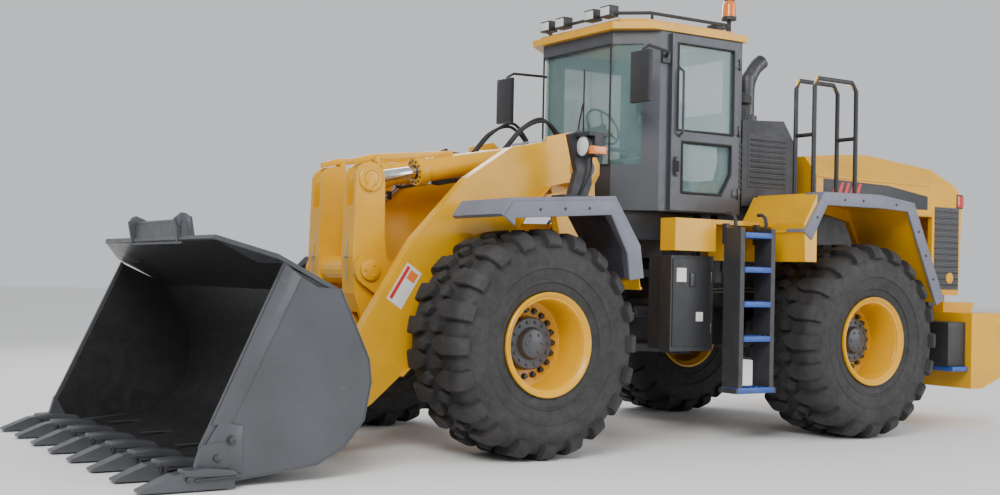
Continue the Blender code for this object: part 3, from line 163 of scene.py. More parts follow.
def paint(name, colour, roughness, coat=0.0, dust=0.12, grain=0.0):
    """Sprayed enamel: cloudy tone, orange peel, a clear coat, and dust that thins out with height."""
    made, tree, shader = material(name)
    tone = ramp(
        tree,
        noise(tree, 2.5),
        [(0.35, [c * 0.90 for c in colour]), (0.65, [min(c * 1.06, 1.0) for c in colour])],
    )
    low = ranged(tree, height(tree), 0.1, 1.5, 1.0, 0.25)
    patch = ranged(tree, noise(tree, 9.0, 8.0, 0.65), 0.45, 0.75, 0.0, dust)
    dirt = node(tree, "ShaderNodeMath", operation="MULTIPLY")
    tree.links.new(low, dirt.inputs[0])
    tree.links.new(patch, dirt.inputs[1])
    tree.links.new(mixed(tree, dirt.outputs[0], tone, (0.33, 0.28, 0.22)), shader.inputs["Base Color"])
    tree.links.new(
        ranged(tree, noise(tree, 14.0, 6.0), 0.3, 0.7, roughness * 0.85, roughness * 1.2),
        shader.inputs["Roughness"],
    )
    shader.inputs["Coat Weight"].default_value = coat
    shader.inputs["Coat Roughness"].default_value = 0.12
    bumped(tree, shader, noise(tree, 260.0, 2.0), 0.12, 0.0006)
    if grain:
        bumped(tree, shader, noise(tree, 900.0, 3.0), grain, 0.0010)
    return made


def bucket_paint():
    """Satin grey on plate steel, with long scratches, mill waviness and bare worn streaks low down."""
    made, tree, shader = material("bucket_paint")
    tone = ramp(tree, noise(tree, 1.8, 6.0), [(0.3, (0.058, 0.060, 0.068)), (0.7, (0.082, 0.086, 0.096))])
    scratch = ranged(tree, noise(tree, 40.0, 8.0, 0.7, (0.25, 5.0, 1.0)), 0.62, 0.72, 0.0, 0.55)
    tree.links.new(mixed(tree, scratch, tone, (0.16, 0.16, 0.17)), shader.inputs["Base Color"])
    tree.links.new(ranged(tree, noise(tree, 11.0, 6.0), 0.3, 0.7, 0.34, 0.52), shader.inputs["Roughness"])
    shader.inputs["Metallic"].default_value = 0.25
    shader.inputs["Coat Weight"].default_value = 0.15
    bumped(tree, shader, noise(tree, 3.0, 2.0), 0.25, 0.004)
    bumped(tree, shader, noise(tree, 120.0, 4.0), 0.12, 0.0008)
    return made


def rubber(name, colour, dust):
    """Moulded rubber with fine pores, bloom on the sides and dust in the low places."""
    made, tree, shader = material(name)
    tone = ramp(
        tree,
        noise(tree, 7.0, 8.0, 0.6),
        [(0.35, [c * 0.75 for c in colour]), (0.7, [c * 1.3 for c in colour])],
    )
    grey = ranged(tree, noise(tree, 3.0, 9.0, 0.7), 0.45, 0.8, 0.0, dust)
    tree.links.new(mixed(tree, grey, tone, (0.15, 0.135, 0.12)), shader.inputs["Base Color"])
    tree.links.new(ranged(tree, noise(tree, 20.0), 0.3, 0.7, 0.62, 0.85), shader.inputs["Roughness"])
    bumped(tree, shader, noise(tree, 90.0, 8.0, 0.7), 0.3, 0.0015)
    return made


def steel(name, colour, roughness, stretch=(1, 1, 1)):
    """Bare or plated steel with fine drawn lines."""
    made, tree, shader = material(name)
    tone = ramp(
        tree, noise(tree, 12.0, 6.0), [
            (0.3, [c * 0.85 for c in colour]), (0.7, [min(c * 1.1, 1) for c in colour])
        ]
    )
    tree.links.new(tone, shader.inputs["Base Color"])
    shader.inputs["Metallic"].default_value = 1.0
    lines = noise(tree, 60.0, 6.0, 0.6, stretch)
    tree.links.new(
        ranged(tree, lines, 0.3, 0.7, roughness * 0.7, roughness * 1.4), shader.inputs["Roughness"]
    )
    bumped(tree, shader, lines, 0.08, 0.0004)
    return made


def glass(name, colour, alpha):
    """Tinted pane glass: mostly clear, with streaks of dust that only roughen it."""
    made, tree, shader = material(name)
    tone = ramp(tree, noise(tree, 1.2), [(0.3, [c * 0.85 for c in colour]), (0.7, colour)])
    tree.links.new(tone, shader.inputs["Base Color"])
    tree.links.new(ranged(tree, noise(tree, 6.0, 8.0), 0.4, 0.8, 0.02, 0.10), shader.inputs["Roughness"])
    tree.links.new(
        ranged(
            tree, noise(tree, 2.0, 6.0), 0.3, 0.7, alpha * 0.9, min(alpha * 1.15, 1.0)
        ), shader.inputs["Alpha"]
    )
    shader.inputs["Specular IOR Level"].default_value = 0.9
    shader.inputs["Coat Weight"].default_value = 1.0
    shader.inputs["Coat Roughness"].default_value = 0.02
    return made


def lens(name, colour, glow=0.0):
    """A moulded lamp lens with a fine rib pattern."""
    made, tree, shader = material(name)
    where = node(tree, "ShaderNodeTexCoord")
    wave = node(tree, "ShaderNodeTexWave", Scale=28.0, Distortion=0.0, bands_direction="Z")
    tree.links.new(where.outputs["Object"], wave.inputs["Vector"])
    tone = ramp(tree, wave.outputs["Fac"], [(0.0, [c * 0.7 for c in colour]), (1.0, colour)])
    tree.links.new(tone, shader.inputs["Base Color"])
    shader.inputs["Roughness"].default_value = 0.12
    shader.inputs["Coat Weight"].default_value = 1.0
    shader.inputs["Emission Color"].default_value = (*colour, 1.0)
    shader.inputs["Emission Strength"].default_value = glow
    bumped(tree, shader, wave.outputs["Fac"], 0.4, 0.002)
    return made


def cloth(name, colour):
    """Woven seat cloth."""
    made, tree, shader = material(name)
    where = node(tree, "ShaderNodeTexCoord")
    heights = []
    for direction in ("X", "Z"):
        wave = node(tree, "ShaderNodeTexWave", Scale=140.0, Distortion=0.5, bands_direction=direction)
        tree.links.new(where.outputs["Object"], wave.inputs["Vector"])
        heights.append(wave.outputs["Fac"])
    weave = node(tree, "ShaderNodeMath", operation="MULTIPLY")
    tree.links.new(heights[0], weave.inputs[0])
    tree.links.new(heights[1], weave.inputs[1])
    tone = ramp(tree, weave.outputs[0], [(0.0, [c * 0.6 for c in colour]), (1.0, [c * 1.5 for c in colour])])
    tree.links.new(tone, shader.inputs["Base Color"])
    shader.inputs["Roughness"].default_value = 0.9
    shader.inputs["Sheen Weight"].default_value = 0.35
    bumped(tree, shader, weave.outputs[0], 0.5, 0.001)
    return made


def grating(name, colour):
    """Sheet metal punched with a square lattice of holes; the near-black in the holes is painted shade seen
    through them.
    """
    made, tree, shader = material(name)
    where = node(tree, "ShaderNodeTexCoord")
    cells = node(tree, "ShaderNodeTexVoronoi", Scale=62.0, Randomness=0.0)
    tree.links.new(where.outputs["Object"], cells.inputs["Vector"])
    web = ranged(tree, cells.outputs["Distance"], 0.30, 0.42)
    # The holes are near-black: painted shade behind the sheet. The web between them keeps the metal's colour.
    tree.links.new(mixed(tree, web, (0.004, 0.004, 0.005), colour), shader.inputs["Base Color"])
    shader.inputs["Roughness"].default_value = 0.55
    bumped(tree, shader, web, 0.8, 0.004)
    return made


YELLOW = paint("yellow_enamel", (0.74, 0.37, 0.001), 0.36, 0.15, 0.05)
CHARCOAL = paint("charcoal_satin", (0.048, 0.052, 0.064), 0.42, 0.15, 0.05)
FRAME_BLACK = paint("frame_black", (0.030, 0.031, 0.035), 0.50, 0.0, 0.10)
BAND = paint("fender_moulding", (0.155, 0.160, 0.205), 0.48, 0.0, 0.10, 0.35)
PLASTIC = paint("black_moulding", (0.022, 0.023, 0.026), 0.50, 0.0, 0.08, 0.4)
STEP_BLUE = paint("step_blue", (0.012, 0.075, 0.36), 0.42, 0.1, 0.2)
BUCKET = bucket_paint()
# Near-black: painted shade for the inside of the bucket.
BUCKET_INSIDE_SHADE = paint("bucket_inside_painted_shade", (0.016, 0.016, 0.018), 0.40, 0.1, 0.05)
TYRE = rubber("tyre_rubber", (0.024, 0.023, 0.024), 0.16)
SEAL = rubber("seal_rubber", (0.018, 0.018, 0.019), 0.1)
HOSE = rubber("hose_rubber", (0.014, 0.014, 0.015), 0.12)
CHROME = steel("hard_chrome", (0.72, 0.73, 0.75), 0.16, (1, 30, 1))
STEEL = steel("zinc_steel", (0.45, 0.45, 0.44), 0.35)
DARK_STEEL = steel("oiled_steel", (0.10, 0.10, 0.105), 0.45)
GLASS = glass("cab_glass", (0.16, 0.29, 0.29), 0.36)
MIRROR = steel("mirror_silver", (0.75, 0.80, 0.82), 0.05)
AMBER = lens("amber_lens", (0.90, 0.20, 0.002))
CLEAR = lens("clear_lens", (0.75, 0.78, 0.80), 0.05)
RED = lens("red_lens", (0.60, 0.012, 0.010), 0.1)
SEAT = cloth("seat_cloth", (0.030, 0.031, 0.036))
GRILLE = grating("grille_mesh", (0.10, 0.10, 0.11))
WHITE = paint("plate_white", (0.72, 0.72, 0.70), 0.45, 0.1, 0.15)
PLATE_RED = paint("plate_red", (0.62, 0.03, 0.02), 0.45, 0.1, 0.15)
PLATE_ORANGE = paint("plate_orange", (0.80, 0.20, 0.03), 0.45, 0.1, 0.15)

# Shapes


def place(name, mesh_data, body, finish, smooth=35.0):
    """Names a mesh that is measured from the pivot, gives it its material and lets it ride on a body."""
    mesh_data.transform(Matrix.Translation(PIVOT))
    obj = bpy.data.objects.new(name, mesh_data)
    bpy.context.scene.collection.objects.link(obj)
    obj.data.materials.clear()
    obj.data.materials.append(finish)
    obj.data.shade_smooth()
    obj.data.set_sharp_from_angle(angle=radians(smooth))
    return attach(obj, body)


def mesh_from(bm):
    """A mesh from a bmesh, faces pointing out."""
    bmesh.ops.recalc_face_normals(bm, faces=bm.faces)
    made = bpy.data.meshes.new("mesh")
    bm.to_mesh(made)
    bm.free()
    return made


def joined(meshes):
    """Several meshes as one. The parts are removed."""
    bm = bmesh.new()
    for part in meshes:
        bm.from_mesh(part)
        bpy.data.meshes.remove(part)
    made = bpy.data.meshes.new("mesh")
    bm.to_mesh(made)
    bm.free()
    return made


def bevelled(bm, width, segments=2):
    """Rounds every edge that turns by more than 30 degrees."""
    edges = [e for e in bm.edges if len(e.link_faces) == 2 and e.calc_face_angle(0.0) > radians(30)]
    if width > 0 and edges:
        bmesh.ops.bevel(
            bm, geom=edges, offset=width, segments=segments, affect="EDGES", profile=0.5, clamp_overlap=True
        )


def box(x, y, z, bevel=0.004):
    """A rounded box between pairs of limits."""
    bm = bmesh.new()
    size = Matrix.Diagonal((x[1] - x[0], y[1] - y[0], z[1] - z[0], 1.0))
    middle = Matrix.Translation(((x[0] + x[1]) / 2, (y[0] + y[1]) / 2, (z[0] + z[1]) / 2))
    bmesh.ops.create_cube(bm, size=1.0, matrix=middle @ size)
    bevelled(bm, bevel)
    return mesh_from(bm)


def prism(outline, low, high, axis="y", bevel=0.004):
    """An outline given thickness: (x, z) points for y, (y, z) for x and (x, y) for z."""
    order = {
        "y": lambda u, v, w: (u, w, v), "x": lambda u, v, w: (w, u, v), "z": lambda u, v, w: (u, v, w)
    }[axis]
    bm = bmesh.new()
    bottom = [bm.verts.new(order(u, v, low)) for u, v in outline]
    top = [bm.verts.new(order(u, v, high)) for u, v in outline]
    bm.faces.new(bottom)
    bm.faces.new(list(reversed(top)))
    count = len(outline)
    for i in range(count):
        j = (i + 1) % count
        bm.faces.new((bottom[i], bottom[j], top[j], top[i]))
    bmesh.ops.recalc_face_normals(bm, faces=bm.faces)
    bevelled(bm, bevel)
    return mesh_from(bm)


def rod(start, end, radius, sides=24, end_radius=None, bevel=0.002):
    """A round bar or cone between two points."""
    start, end = Vector(start), Vector(end)
    line = end - start
    turn = Vector((0, 0, 1)).rotation_difference(line).to_matrix().to_4x4()
    bm = bmesh.new()
    bmesh.ops.create_cone(
        bm,
        cap_ends=True,
        segments=sides,
        radius1=radius,
        radius2=radius if end_radius is None else end_radius,
        depth=line.length,
        matrix=Matrix.Translation((start + end) / 2) @ turn,
    )
    bevelled(bm, bevel)
    return mesh_from(bm)


def cross_rod(place_xz, low, high, radius, sides=32):
    """A round bar along Y."""
    return rod((place_xz[0], low, place_xz[1]), (place_xz[0], high, place_xz[1]), radius, sides)


def bolt(centre, direction, radius, length, washer=True):
    """A hexagon head on its washer, standing along a direction."""
    centre, direction = Vector(centre), Vector(direction).normalized()
    parts = [rod(centre, centre + direction * length, radius, 6, None, radius * 0.12)]
    if washer:
        parts.append(rod(centre, centre + direction * length * 0.25, radius * 1.35, 16, None, 0.0006))
    return parts


def smooth_path(points, steps=8):
    """Points on a smooth curve through the given ones."""
    points = [Vector(p) for p in points]
    ends = [points[0] * 2 - points[1], *points, points[-1] * 2 - points[-2]]
    path = []
    for i in range(1, len(ends) - 2):
        a, b, c, d = ends[i - 1 : i + 3]
        for step in range(steps):
            t = step / steps
            path.append(
                0.5 * ((2 * b) + (c - a) * t + (
                    2 * a - 5 * b + 4 * c - d
                ) * t**2 + (3 * b - a - 3 * c + d) * t**3)
            )
    return [*path, points[-1]]


def tube(points, radius, sides=12, steps=8):
    """A bent round bar along a smooth curve through points, with closed ends. Steps of 0 keep it straight."""
    path = smooth_path(points, steps) if steps else [Vector(p) for p in points]
    bm = bmesh.new()
    rings = []
    across = (path[1] - path[0]).orthogonal().normalized()
    for i, point in enumerate(path):
        tangent = (path[min(i + 1, len(path) - 1)] - path[max(i - 1, 0)]).normalized()
        across = (across - tangent * across.dot(tangent)).normalized()
        other = tangent.cross(across)
        ring = [
            bm.verts.new(point + (across * cos(a) + other * sin(a)) * radius)
            for a in [2 * pi * k / sides for k in range(sides)]
        ]
        rings.append(ring)
    for first, second in zip(rings, rings[1:]):
        for k in range(sides):
            m = (k + 1) % sides
            bm.faces.new((first[k], first[m], second[m], second[k]))
    bm.faces.new(list(reversed(rings[0])))
    bm.faces.new(rings[-1])
    return mesh_from(bm)


def turned(profile, centre, sides=96, axis="y", flip=1):
    """A (radius, offset) outline turned about an axis through centre."""
    bm = bmesh.new()
    rings = []
    for step in range(sides):
        angle = 2 * pi * step / sides
        ring = []
        for radius, offset in profile:
            u, v, w = radius * cos(angle), offset * flip, radius * sin(angle)
            spot = {"y": (u, v, w), "x": (v, u, w), "z": (u, w, v)}[axis]
            ring.append(bm.verts.new(Vector(centre) + Vector(spot)))
        rings.append(ring)
    count = len(profile)
    for step in range(sides):
        first, second = rings[step], rings[(step + 1) % sides]
        for k in range(count):
            m = (k + 1) % count
            bm.faces.new((first[k], first[m], second[m], second[k]))
    bmesh.ops.remove_doubles(bm, verts=bm.verts, dist=1e-5)
    return mesh_from(bm)


def arc(centre, radius, start, end, steps):
    """Points on an arc, in degrees."""
    return [
        (centre[0] + radius * cos(radians(a)), centre[1] + radius * sin(radians(a)))
        for a in [start + (end - start) * k / steps for k in range(steps + 1)]
    ]


def mirrored(meshes):
    """Reflected copies on the other side."""
    made = []
    for part in meshes:
        copy = part.copy()
        copy.transform(Matrix.Scale(-1, 4, (0, 1, 0)))
        copy.flip_normals()
        made.append(copy)
    return made


def both(meshes):
    """Meshes on the left and their reflections."""
    return [*meshes, *mirrored(meshes)]


def sided(meshes, sign):
    """Meshes made for the left, on the side asked for."""
    if sign > 0:
        return joined(meshes)
    return joined(mirrored(meshes))


def pair(name, meshes, body, finish):
    """Meshes on the left and their reflections, as one piece."""
    return place(name, joined(both(meshes)), body, finish)


def shifted(path, distance):
    """An (x, z) path moved to the right of its travel."""
    points = [Vector(p) for p in path]
    moved = []
    for i, point in enumerate(points):
        line = (points[min(i + 1, len(points) - 1)] - points[max(i - 1, 0)]).normalized()
        moved.append(tuple(point + Vector((line.y, -line.x)) * distance))
    return moved


def sheet(path, depth, low, high, start=0.0, bevel=0.003):
    """A bent sheet along an (x, z) path, that lies from a start depth to the right of it."""
    outer, inner = shifted(path, start), shifted(path, start + depth)
    return prism([*outer, *reversed(inner)], low, high, "y", bevel)


def along(start, end, distance):
    """The point on a line at a distance from its start."""
    start, end = Vector(start), Vector(end)
    return start + (end - start).normalized() * distance


def circle_of_bolts(centre, y, radius, count, size, length, flip=1):
    """Bolt heads in a circle on a face square to Y."""
    parts = []
    for index in range(count):
        angle = 2 * pi * index / count
        spot = (centre[0] + radius * cos(angle), y, centre[1] + radius * sin(angle))
        parts.extend(bolt(spot, (0, flip, 0), size, length))
    return parts


# Carried-over pieces and their finishes

FINISHES = {
    "rear_frame": FRAME_BLACK, "counterweight": YELLOW, "rear_axle": FRAME_BLACK, "engine_block": FRAME_BLACK,
    "deck_cover": FRAME_BLACK, "exhaust_stack": PLASTIC, "cab_shell": CHARCOAL, "cab_roof": YELLOW,
    "roof_rail": PLASTIC, "windscreen": GLASS, "right_window": GLASS, "rear_window": GLASS,
    "operator_seat": PLASTIC, "steering_console": PLASTIC, "hood": YELLOW, "cab_door": CHARCOAL,
    "door_glass": GLASS, "front_frame": YELLOW, "front_axle": FRAME_BLACK, "boom": YELLOW,
    "bucket_hinge_pin": DARK_STEEL, "bellcrank_pin": DARK_STEEL, "link_pin": DARK_STEEL,
    "bellcranks": YELLOW, "bucket": BUCKET, "cutting_edge": BUCKET,
}
SIDE_FINISHES = {
    "side_box": PLASTIC, "platform": YELLOW, "ladder": FRAME_BLACK, "mirror": PLASTIC, "front_fender": BAND,
    "headlight": PLASTIC, "bucket_link": YELLOW, "lift_barrel": YELLOW, "lift_rod": CHROME,
    "tilt_barrel": YELLOW, "tilt_rod": CHROME, "steer_barrel": FRAME_BLACK, "steer_rod": CHROME,
    "tyre_front": TYRE, "tyre_rear": TYRE, "rim_front": YELLOW, "rim_rear": YELLOW,
}
SOFT_EDGE = 0.006


def finish_frame():
    """Gives each carried-over piece its material and slightly rounded edges."""
    finishes = dict(FINISHES)
    for stem, look in SIDE_FINISHES.items():
        for side in SIDES:
            finishes[f"{stem}_{side}"] = look
    for name, look in finishes.items():
        obj = NODES[name]
        for slot in obj.material_slots:
            slot.material = look
        if look is not GLASS:
            edge = obj.modifiers.new("edges", "BEVEL")
            edge.width = SOFT_EDGE
            edge.segments = 2
            edge.limit_method = "ANGLE"
            edge.angle_limit = radians(40)
            edge.use_clamp_overlap = True
            edge.harden_normals = True


# Wheels

PITCHES = 20
CARCASS = 0.846
LUG_HEIGHT = 0.046
TREAD_FLAT = 0.262
SHOULDER = 0.10
SHOULDER_TURN = radians(82)
SIDEWALL = [
    (0.72, 0.372), (0.66, 0.3745), (0.622, 0.372), (0.608, 0.379), (0.594, 0.379), (0.582, 0.369),
    (0.54, 0.362), (0.505, 0.355), (0.497, 0.360), (0.485, 0.360), (0.478, 0.349), (0.43, 0.338),
    (0.4105, 0.331),
]
RIM = [
    (0.0, 0.02), (0.3245, 0.02), (0.338, 0.026), (0.3445, 0.045), (0.3445, 0.305), (0.352, 0.318),
    (0.3865, 0.356), (0.398, 0.362), (0.4065, 0.354), (0.4065, 0.334), (0.375, 0.328), (0.375, -0.328),
    (0.4065, -0.334), (0.4065, -0.360), (0.3865, -0.360), (0.3445, -0.310), (0.3445, -0.02), (0.0, -0.02),
]
HUB = [
    (0.0, 0.158), (0.098, 0.158), (0.112, 0.150), (0.122, 0.125), (0.130, 0.108), (0.196, 0.106),
    (0.207, 0.096), (0.212, 0.024), (0.0, 0.022),
]


def on_tread(across, rise):
    """The (radius, offset) of a place on the tread, from its middle line and its rise off the carcass."""
    reach = abs(across) - TREAD_FLAT
    turn = min(max(reach, 0.0) / SHOULDER, SHOULDER_TURN)
    below = max(reach - SHOULDER * SHOULDER_TURN, 0.0)
    radius = CARCASS - SHOULDER * (1 - cos(turn)) + rise * cos(turn) - below
    offset = min(abs(across), TREAD_FLAT) + (SHOULDER + rise) * sin(turn)
    return radius, math.copysign(offset, across)


def tread_block(outline):
    """A tread block from its (round, across) outline: drafted sides, a rounded top, bent onto the tyre."""
    bm = bmesh.new()
    middle = sum((Vector(p) for p in outline), Vector((0, 0))) / len(outline)
    foot = [middle + (Vector(p) - middle) * 1.05 for p in outline]
    bottom = [bm.verts.new((u, v, -0.006)) for u, v in foot]
    top = [bm.verts.new((u, v, LUG_HEIGHT)) for u, v in outline]
    bm.faces.new(bottom)
    cap = bm.faces.new(list(reversed(top)))
    for i in range(len(outline)):
        j = (i + 1) % len(outline)
        bm.faces.new((bottom[i], bottom[j], top[j], top[i]))
    bmesh.ops.recalc_face_normals(bm, faces=bm.faces)
    bmesh.ops.bevel(bm, geom=list(cap.edges), offset=0.006, segments=2, affect="EDGES", clamp_overlap=True)
    for axis, low, high, step in ((0, -0.12, 0.24, 0.03), (1, -0.44, 0.44, 0.022)):
        normal = Vector((axis == 0, axis == 1, 0))
        for index in range(int((high - low) / step)):
            geom = [*bm.verts, *bm.edges, *bm.faces]
            bmesh.ops.bisect_plane(bm, geom=geom, plane_co=normal * (low + index * step), plane_no=normal)
    for vert in bm.verts:
        angle = vert.co.x / CARCASS
        radius, offset = on_tread(vert.co.y, vert.co.z)
        vert.co = (radius * cos(angle), offset, radius * sin(angle))
    return mesh_from(bm)


def tread_pitch():
    """One repeat of the tread: a shoulder lug and a diamond on each side, the two sides half a step apart."""
    step = 2 * pi * CARCASS / PITCHES
    lug = [
        (-0.068, 0.405), (0.068, 0.405), (0.060, 0.235), (0.076, 0.160), (0.030, 0.070), (-0.040, 0.105),
        (-0.072, 0.190),
    ]
    diamond = [(0.136, 0.006), (0.186, 0.078), (0.150, 0.152), (0.094, 0.132), (0.086, 0.062)]
    blocks = []
    for shift, flip in ((0.0, 1), (step / 2, -1)):
        for outline in (lug, diamond):
            blocks.append(tread_block([(u + shift, v * flip) for u, v in outline]))
    return joined(blocks)


def carcass():
    """The tyre's smooth body under its tread, closed round the beads."""
    end = TREAD_FLAT + SHOULDER * SHOULDER_TURN
    crown = [on_tread(end - 2 * end * k / 28, 0.0) for k in range(29)]
    right = [(radius, -offset) for radius, offset in SIDEWALL]
    return turned([*reversed(SIDEWALL), *crown, *right], (0, 0, 0), 120)


def build_tyre(wheel, pitch):
    """A tyre with moulded tread, in place of its plain one."""
    end, side = wheel.split("_")
    parts = [carcass()]
    for index in range(PITCHES):
        lug = pitch.copy()
        lug.transform(Matrix.Rotation(2 * pi * index / PITCHES, 4, "Y"))
        parts.append(lug)
    tyre = joined(parts)
    tyre.transform(Matrix.Translation(WHEELS[wheel]))
    piece = place(f"tread_{wheel}", tyre, f"{end}_wheel_{side}", TYRE, 28.0)
    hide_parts(f"tyre_{wheel}")


def build_rim(wheel):
    """A round rim in place of its faceted one, with its nuts, lock ring, valve and dark hub."""
    end, side = wheel.split("_")
    body = f"{end}_wheel_{side}"
    flip = SIDES[side]
    centre = WHEELS[wheel]
    spot = (centre.x, centre.z)
    rim = [turned(RIM, centre, 96, "y", flip)]
    ring = [(0.361 + 0.011 * cos(a), 0.324 + 0.011 * sin(a)) for a in [2 * pi * k / 10 for k in range(10)]]
    rim.append(turned(ring, centre, 96, "y", flip))
    piece = place(f"dish_{wheel}", joined(rim), body, YELLOW)
    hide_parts(f"rim_{wheel}")
    nuts = circle_of_bolts(spot, centre.y + flip * 0.018, 0.262, 20, 0.020, 0.034, flip)
    valve = rod(
        centre + Vector((0.30, flip * 0.02, 0.06)), centre + Vector((0.30, flip * 0.10, 0.06)), 0.007, 10
    )
    place(f"wheel_nuts_{wheel}", joined([*nuts, valve]), body, DARK_STEEL)
    hub = [turned(HUB, centre, 64, "y", flip)]
    hub += circle_of_bolts(spot, centre.y + flip * 0.105, 0.168, 14, 0.012, 0.014, flip)
    hub += circle_of_bolts(spot, centre.y + flip * 0.157, 0.078, 6, 0.010, 0.010, flip)
    place(f"hub_{wheel}", joined(hub), body, CHARCOAL)


def build_wheels():
    """All four wheels."""
    pitch = tread_pitch()
    for wheel in WHEELS:
        build_tyre(wheel, pitch)
        build_rim(wheel)
    bpy.data.meshes.remove(pitch)


# Bucket

BUCKET_SIDE_Y = 1.706
TOOTH_COUNT = 8
TOOTH_REACH = 1.738
TOOTH_HALF = 0.070
SHELL_PATH = [
    (4.45, 0.045), (3.89, 0.11), (3.68, 0.22), (3.53, 0.40), (3.48, 0.66), (3.50, 0.82), (3.61, 1.05),
    (3.73, 1.30), (4.44, 1.648),
]
SIDE_FRONT = [(4.70, 0.27), (4.64, 0.38), (4.14, 1.45)]


def build_bucket_inside_shade():
    """A near-black sheet just inside the bucket's shell and side plates: painted shade in the bucket's hollow.
    """
    reach = BUCKET_SIDE_Y - 0.031
    brow = along(SHELL_PATH[7], SHELL_PATH[8], 0.45)
    # A thin near-black sheet 30 mm inside the shell and on the inner cheeks: painted shade.
    parts = [sheet([*SHELL_PATH[:8], tuple(brow)], 0.003, -reach, reach, 0.030, 0.0)]
    parts.append(sheet([tuple(brow), SHELL_PATH[8]], 0.003, -1.22, 1.22, 0.030, 0.0))
    cheek = [*SIDE_FRONT, *reversed(shifted(SHELL_PATH[1:8], 0.034)), (4.60, 0.09)]
    parts += both([prism(cheek, reach - 0.003, reach, "y", 0.0)])
    place("bucket_inside_shade_sheet", joined(parts), "bucket_body", BUCKET_INSIDE_SHADE)


def build_bucket_teeth():
    """The adapters on the cutting edge, with their weld beads and the pins through the teeth."""
    adapters, pins, welds = [], [], []
    outline = [(4.47, 0.080), (4.53, 0.128), (4.70, 0.150), (4.86, 0.142), (4.875, 0.10), (4.60, 0.085)]
    for index in range(TOOTH_COUNT):
        y = TOOTH_REACH * (2 * index / (TOOTH_COUNT - 1) - 1)
        adapters.append(prism(outline, y - TOOTH_HALF, y + TOOTH_HALF, "y", 0.010))
        pins.append(cross_rod((4.84, 0.085), y - TOOTH_HALF - 0.012, y + TOOTH_HALF + 0.012, 0.017, 16))
        edge = [(4.52, y - TOOTH_HALF - 0.004), (4.47, y), (4.52, y + TOOTH_HALF + 0.004)]
        welds.append(tube([(4.80, y - TOOTH_HALF - 0.004, 0.078), *[(x, v, 0.088) for x, v in edge],
                           (4.80, y + TOOTH_HALF + 0.004, 0.078)], 0.008, 8, 0))
    place("tooth_adapters", joined(adapters), "bucket_body", BUCKET)
    place("tooth_pins", joined(pins), "bucket_body", DARK_STEEL)
    place("tooth_welds", joined(welds), "bucket_body", DARK_STEEL)


def build_bucket_sides():
    """The corner wear plates with their bolts, the weld beads and the heel pads of the bucket."""
    face = BUCKET_SIDE_Y
    wear = prism([
        (4.44, 0.10), (4.71, 0.085), (4.71, 0.26), (4.60, 0.43), (4.44, 0.40)
    ], face, face + 0.016, "y", 0.004)
    bolts = []
    for x, z in ((4.52, 0.31), (4.62, 0.20)):
        bolts += bolt((x, face + 0.016, z), (0, 1, 0), 0.026, 0.022)
    bead = [(x, face + 0.001, z) for x, z in shifted(SHELL_PATH[:8], 0.004)]
    rim = prism([(4.655, 0.41), (4.52, 0.41), (4.04, 1.375), (4.155, 1.46)], face, face + 0.012, "y", 0.003)
    pair("bucket_wear_plates", [wear, rim], "bucket_body", BUCKET)
    pair("bucket_side_bolts", bolts, "bucket_body", DARK_STEEL)
    pair("bucket_welds", [tube(bead, 0.006, 8, 0)], "bucket_body", BUCKET)
    pads = [
        sheet(SHELL_PATH[1:5], 0.014, y - 0.07, y + 0.07, -0.014) for y in (-1.5, -1.0, -0.45, 0.45, 1.0, 1.5)
    ]
    place("bucket_heel_pads", joined(pads), "bucket_body", BUCKET)


def build_bucket_guard():
    """The capping tube, gussets and rounded ears of the bucket's spill guard, and the strips on its floor."""
    cap = tube([(4.425, -0.50, 1.765), (4.425, 0.50, 1.765)], 0.020, 16, 0)
    gussets = [prism(
        [(4.38, 1.63), (4.402, 1.63), (4.402, 1.75)], y - 0.006, y + 0.006, "y", 0.0
    ) for y in (-0.3, 0, 0.3)]
    ears = both([prism([*arc((4.43, 1.775), 0.055, -40, 200, 10), (4.36, 1.63)], 0.521, 0.532, "y", 0.003)])
    place("spill_guard_trim", joined([cap, *gussets, *ears]), "bucket_body", BUCKET)
    slots = [box((4.10, 4.40), (y - 0.02, y + 0.02), (0.112, 0.116), 0.0) for y in (-1.2, -0.4, 0.4, 1.2)]
    place("floor_strips", joined(slots), "bucket_body", BUCKET)


# Boom and linkage

ARM_FACE = 0.73
LEVER_TOP = (2.80, 2.18)
LEVER_LOW = (2.66, 0.66)
TILT_BASE = pivot_of("tilt_swing_left")
LIFT_BASE = pivot_of("lift_swing_left")
LIFT_TIP = (2.10, 1.40)
ARM_UNDER = [
    (2.93, 0.40), (2.68, 0.61), (2.30, 0.95), (1.95, 1.20), (1.72, 1.55), (1.50, 1.96), (1.27, 2.18),
    (1.06, 2.23), (0.90, 2.20),
]
LEVER_Y, LIFT_Y = 0.30, 0.485
ROD_RADIUS = 0.0512
HEAD_BOLTS = 12


def pin_cover(spot, y, radius, thick, bolts, flip=1):
    """A round cover plate over a pin's end, with its ring of bolts."""
    parts = [turned([(0.0, 0.0), (radius, 0.0), (radius, thick * 0.7), (radius * 0.93, thick), (0.0, thick)],
                    (spot[0], y, spot[1]), 40, "y", flip)]
    return parts + circle_of_bolts(spot, y + flip * thick, radius * 0.68, bolts, 0.012, 0.010, flip)


def keeper(spot, y, turn, reach=0.10):
    """A keeper plate that holds a pin: a rounded tongue with one bolt at its far end."""
    along_it, across = Vector((cos(radians(turn)), sin(radians(turn)))), 0.028
    side = Vector((-along_it.y, along_it.x)) * across
    start, end = Vector(spot), Vector(spot) + along_it * reach
    outline = [start - side, end - side, end + along_it * 0.015, end + side, start + side]
    parts = [prism([tuple(p) for p in outline], y, y + 0.010, "y", 0.003)]
    return parts + bolt(
        (end.x - along_it.x * 0.012, y + 0.010, end.y - along_it.y * 0.012), (0, 1, 0), 0.014, 0.012
    )


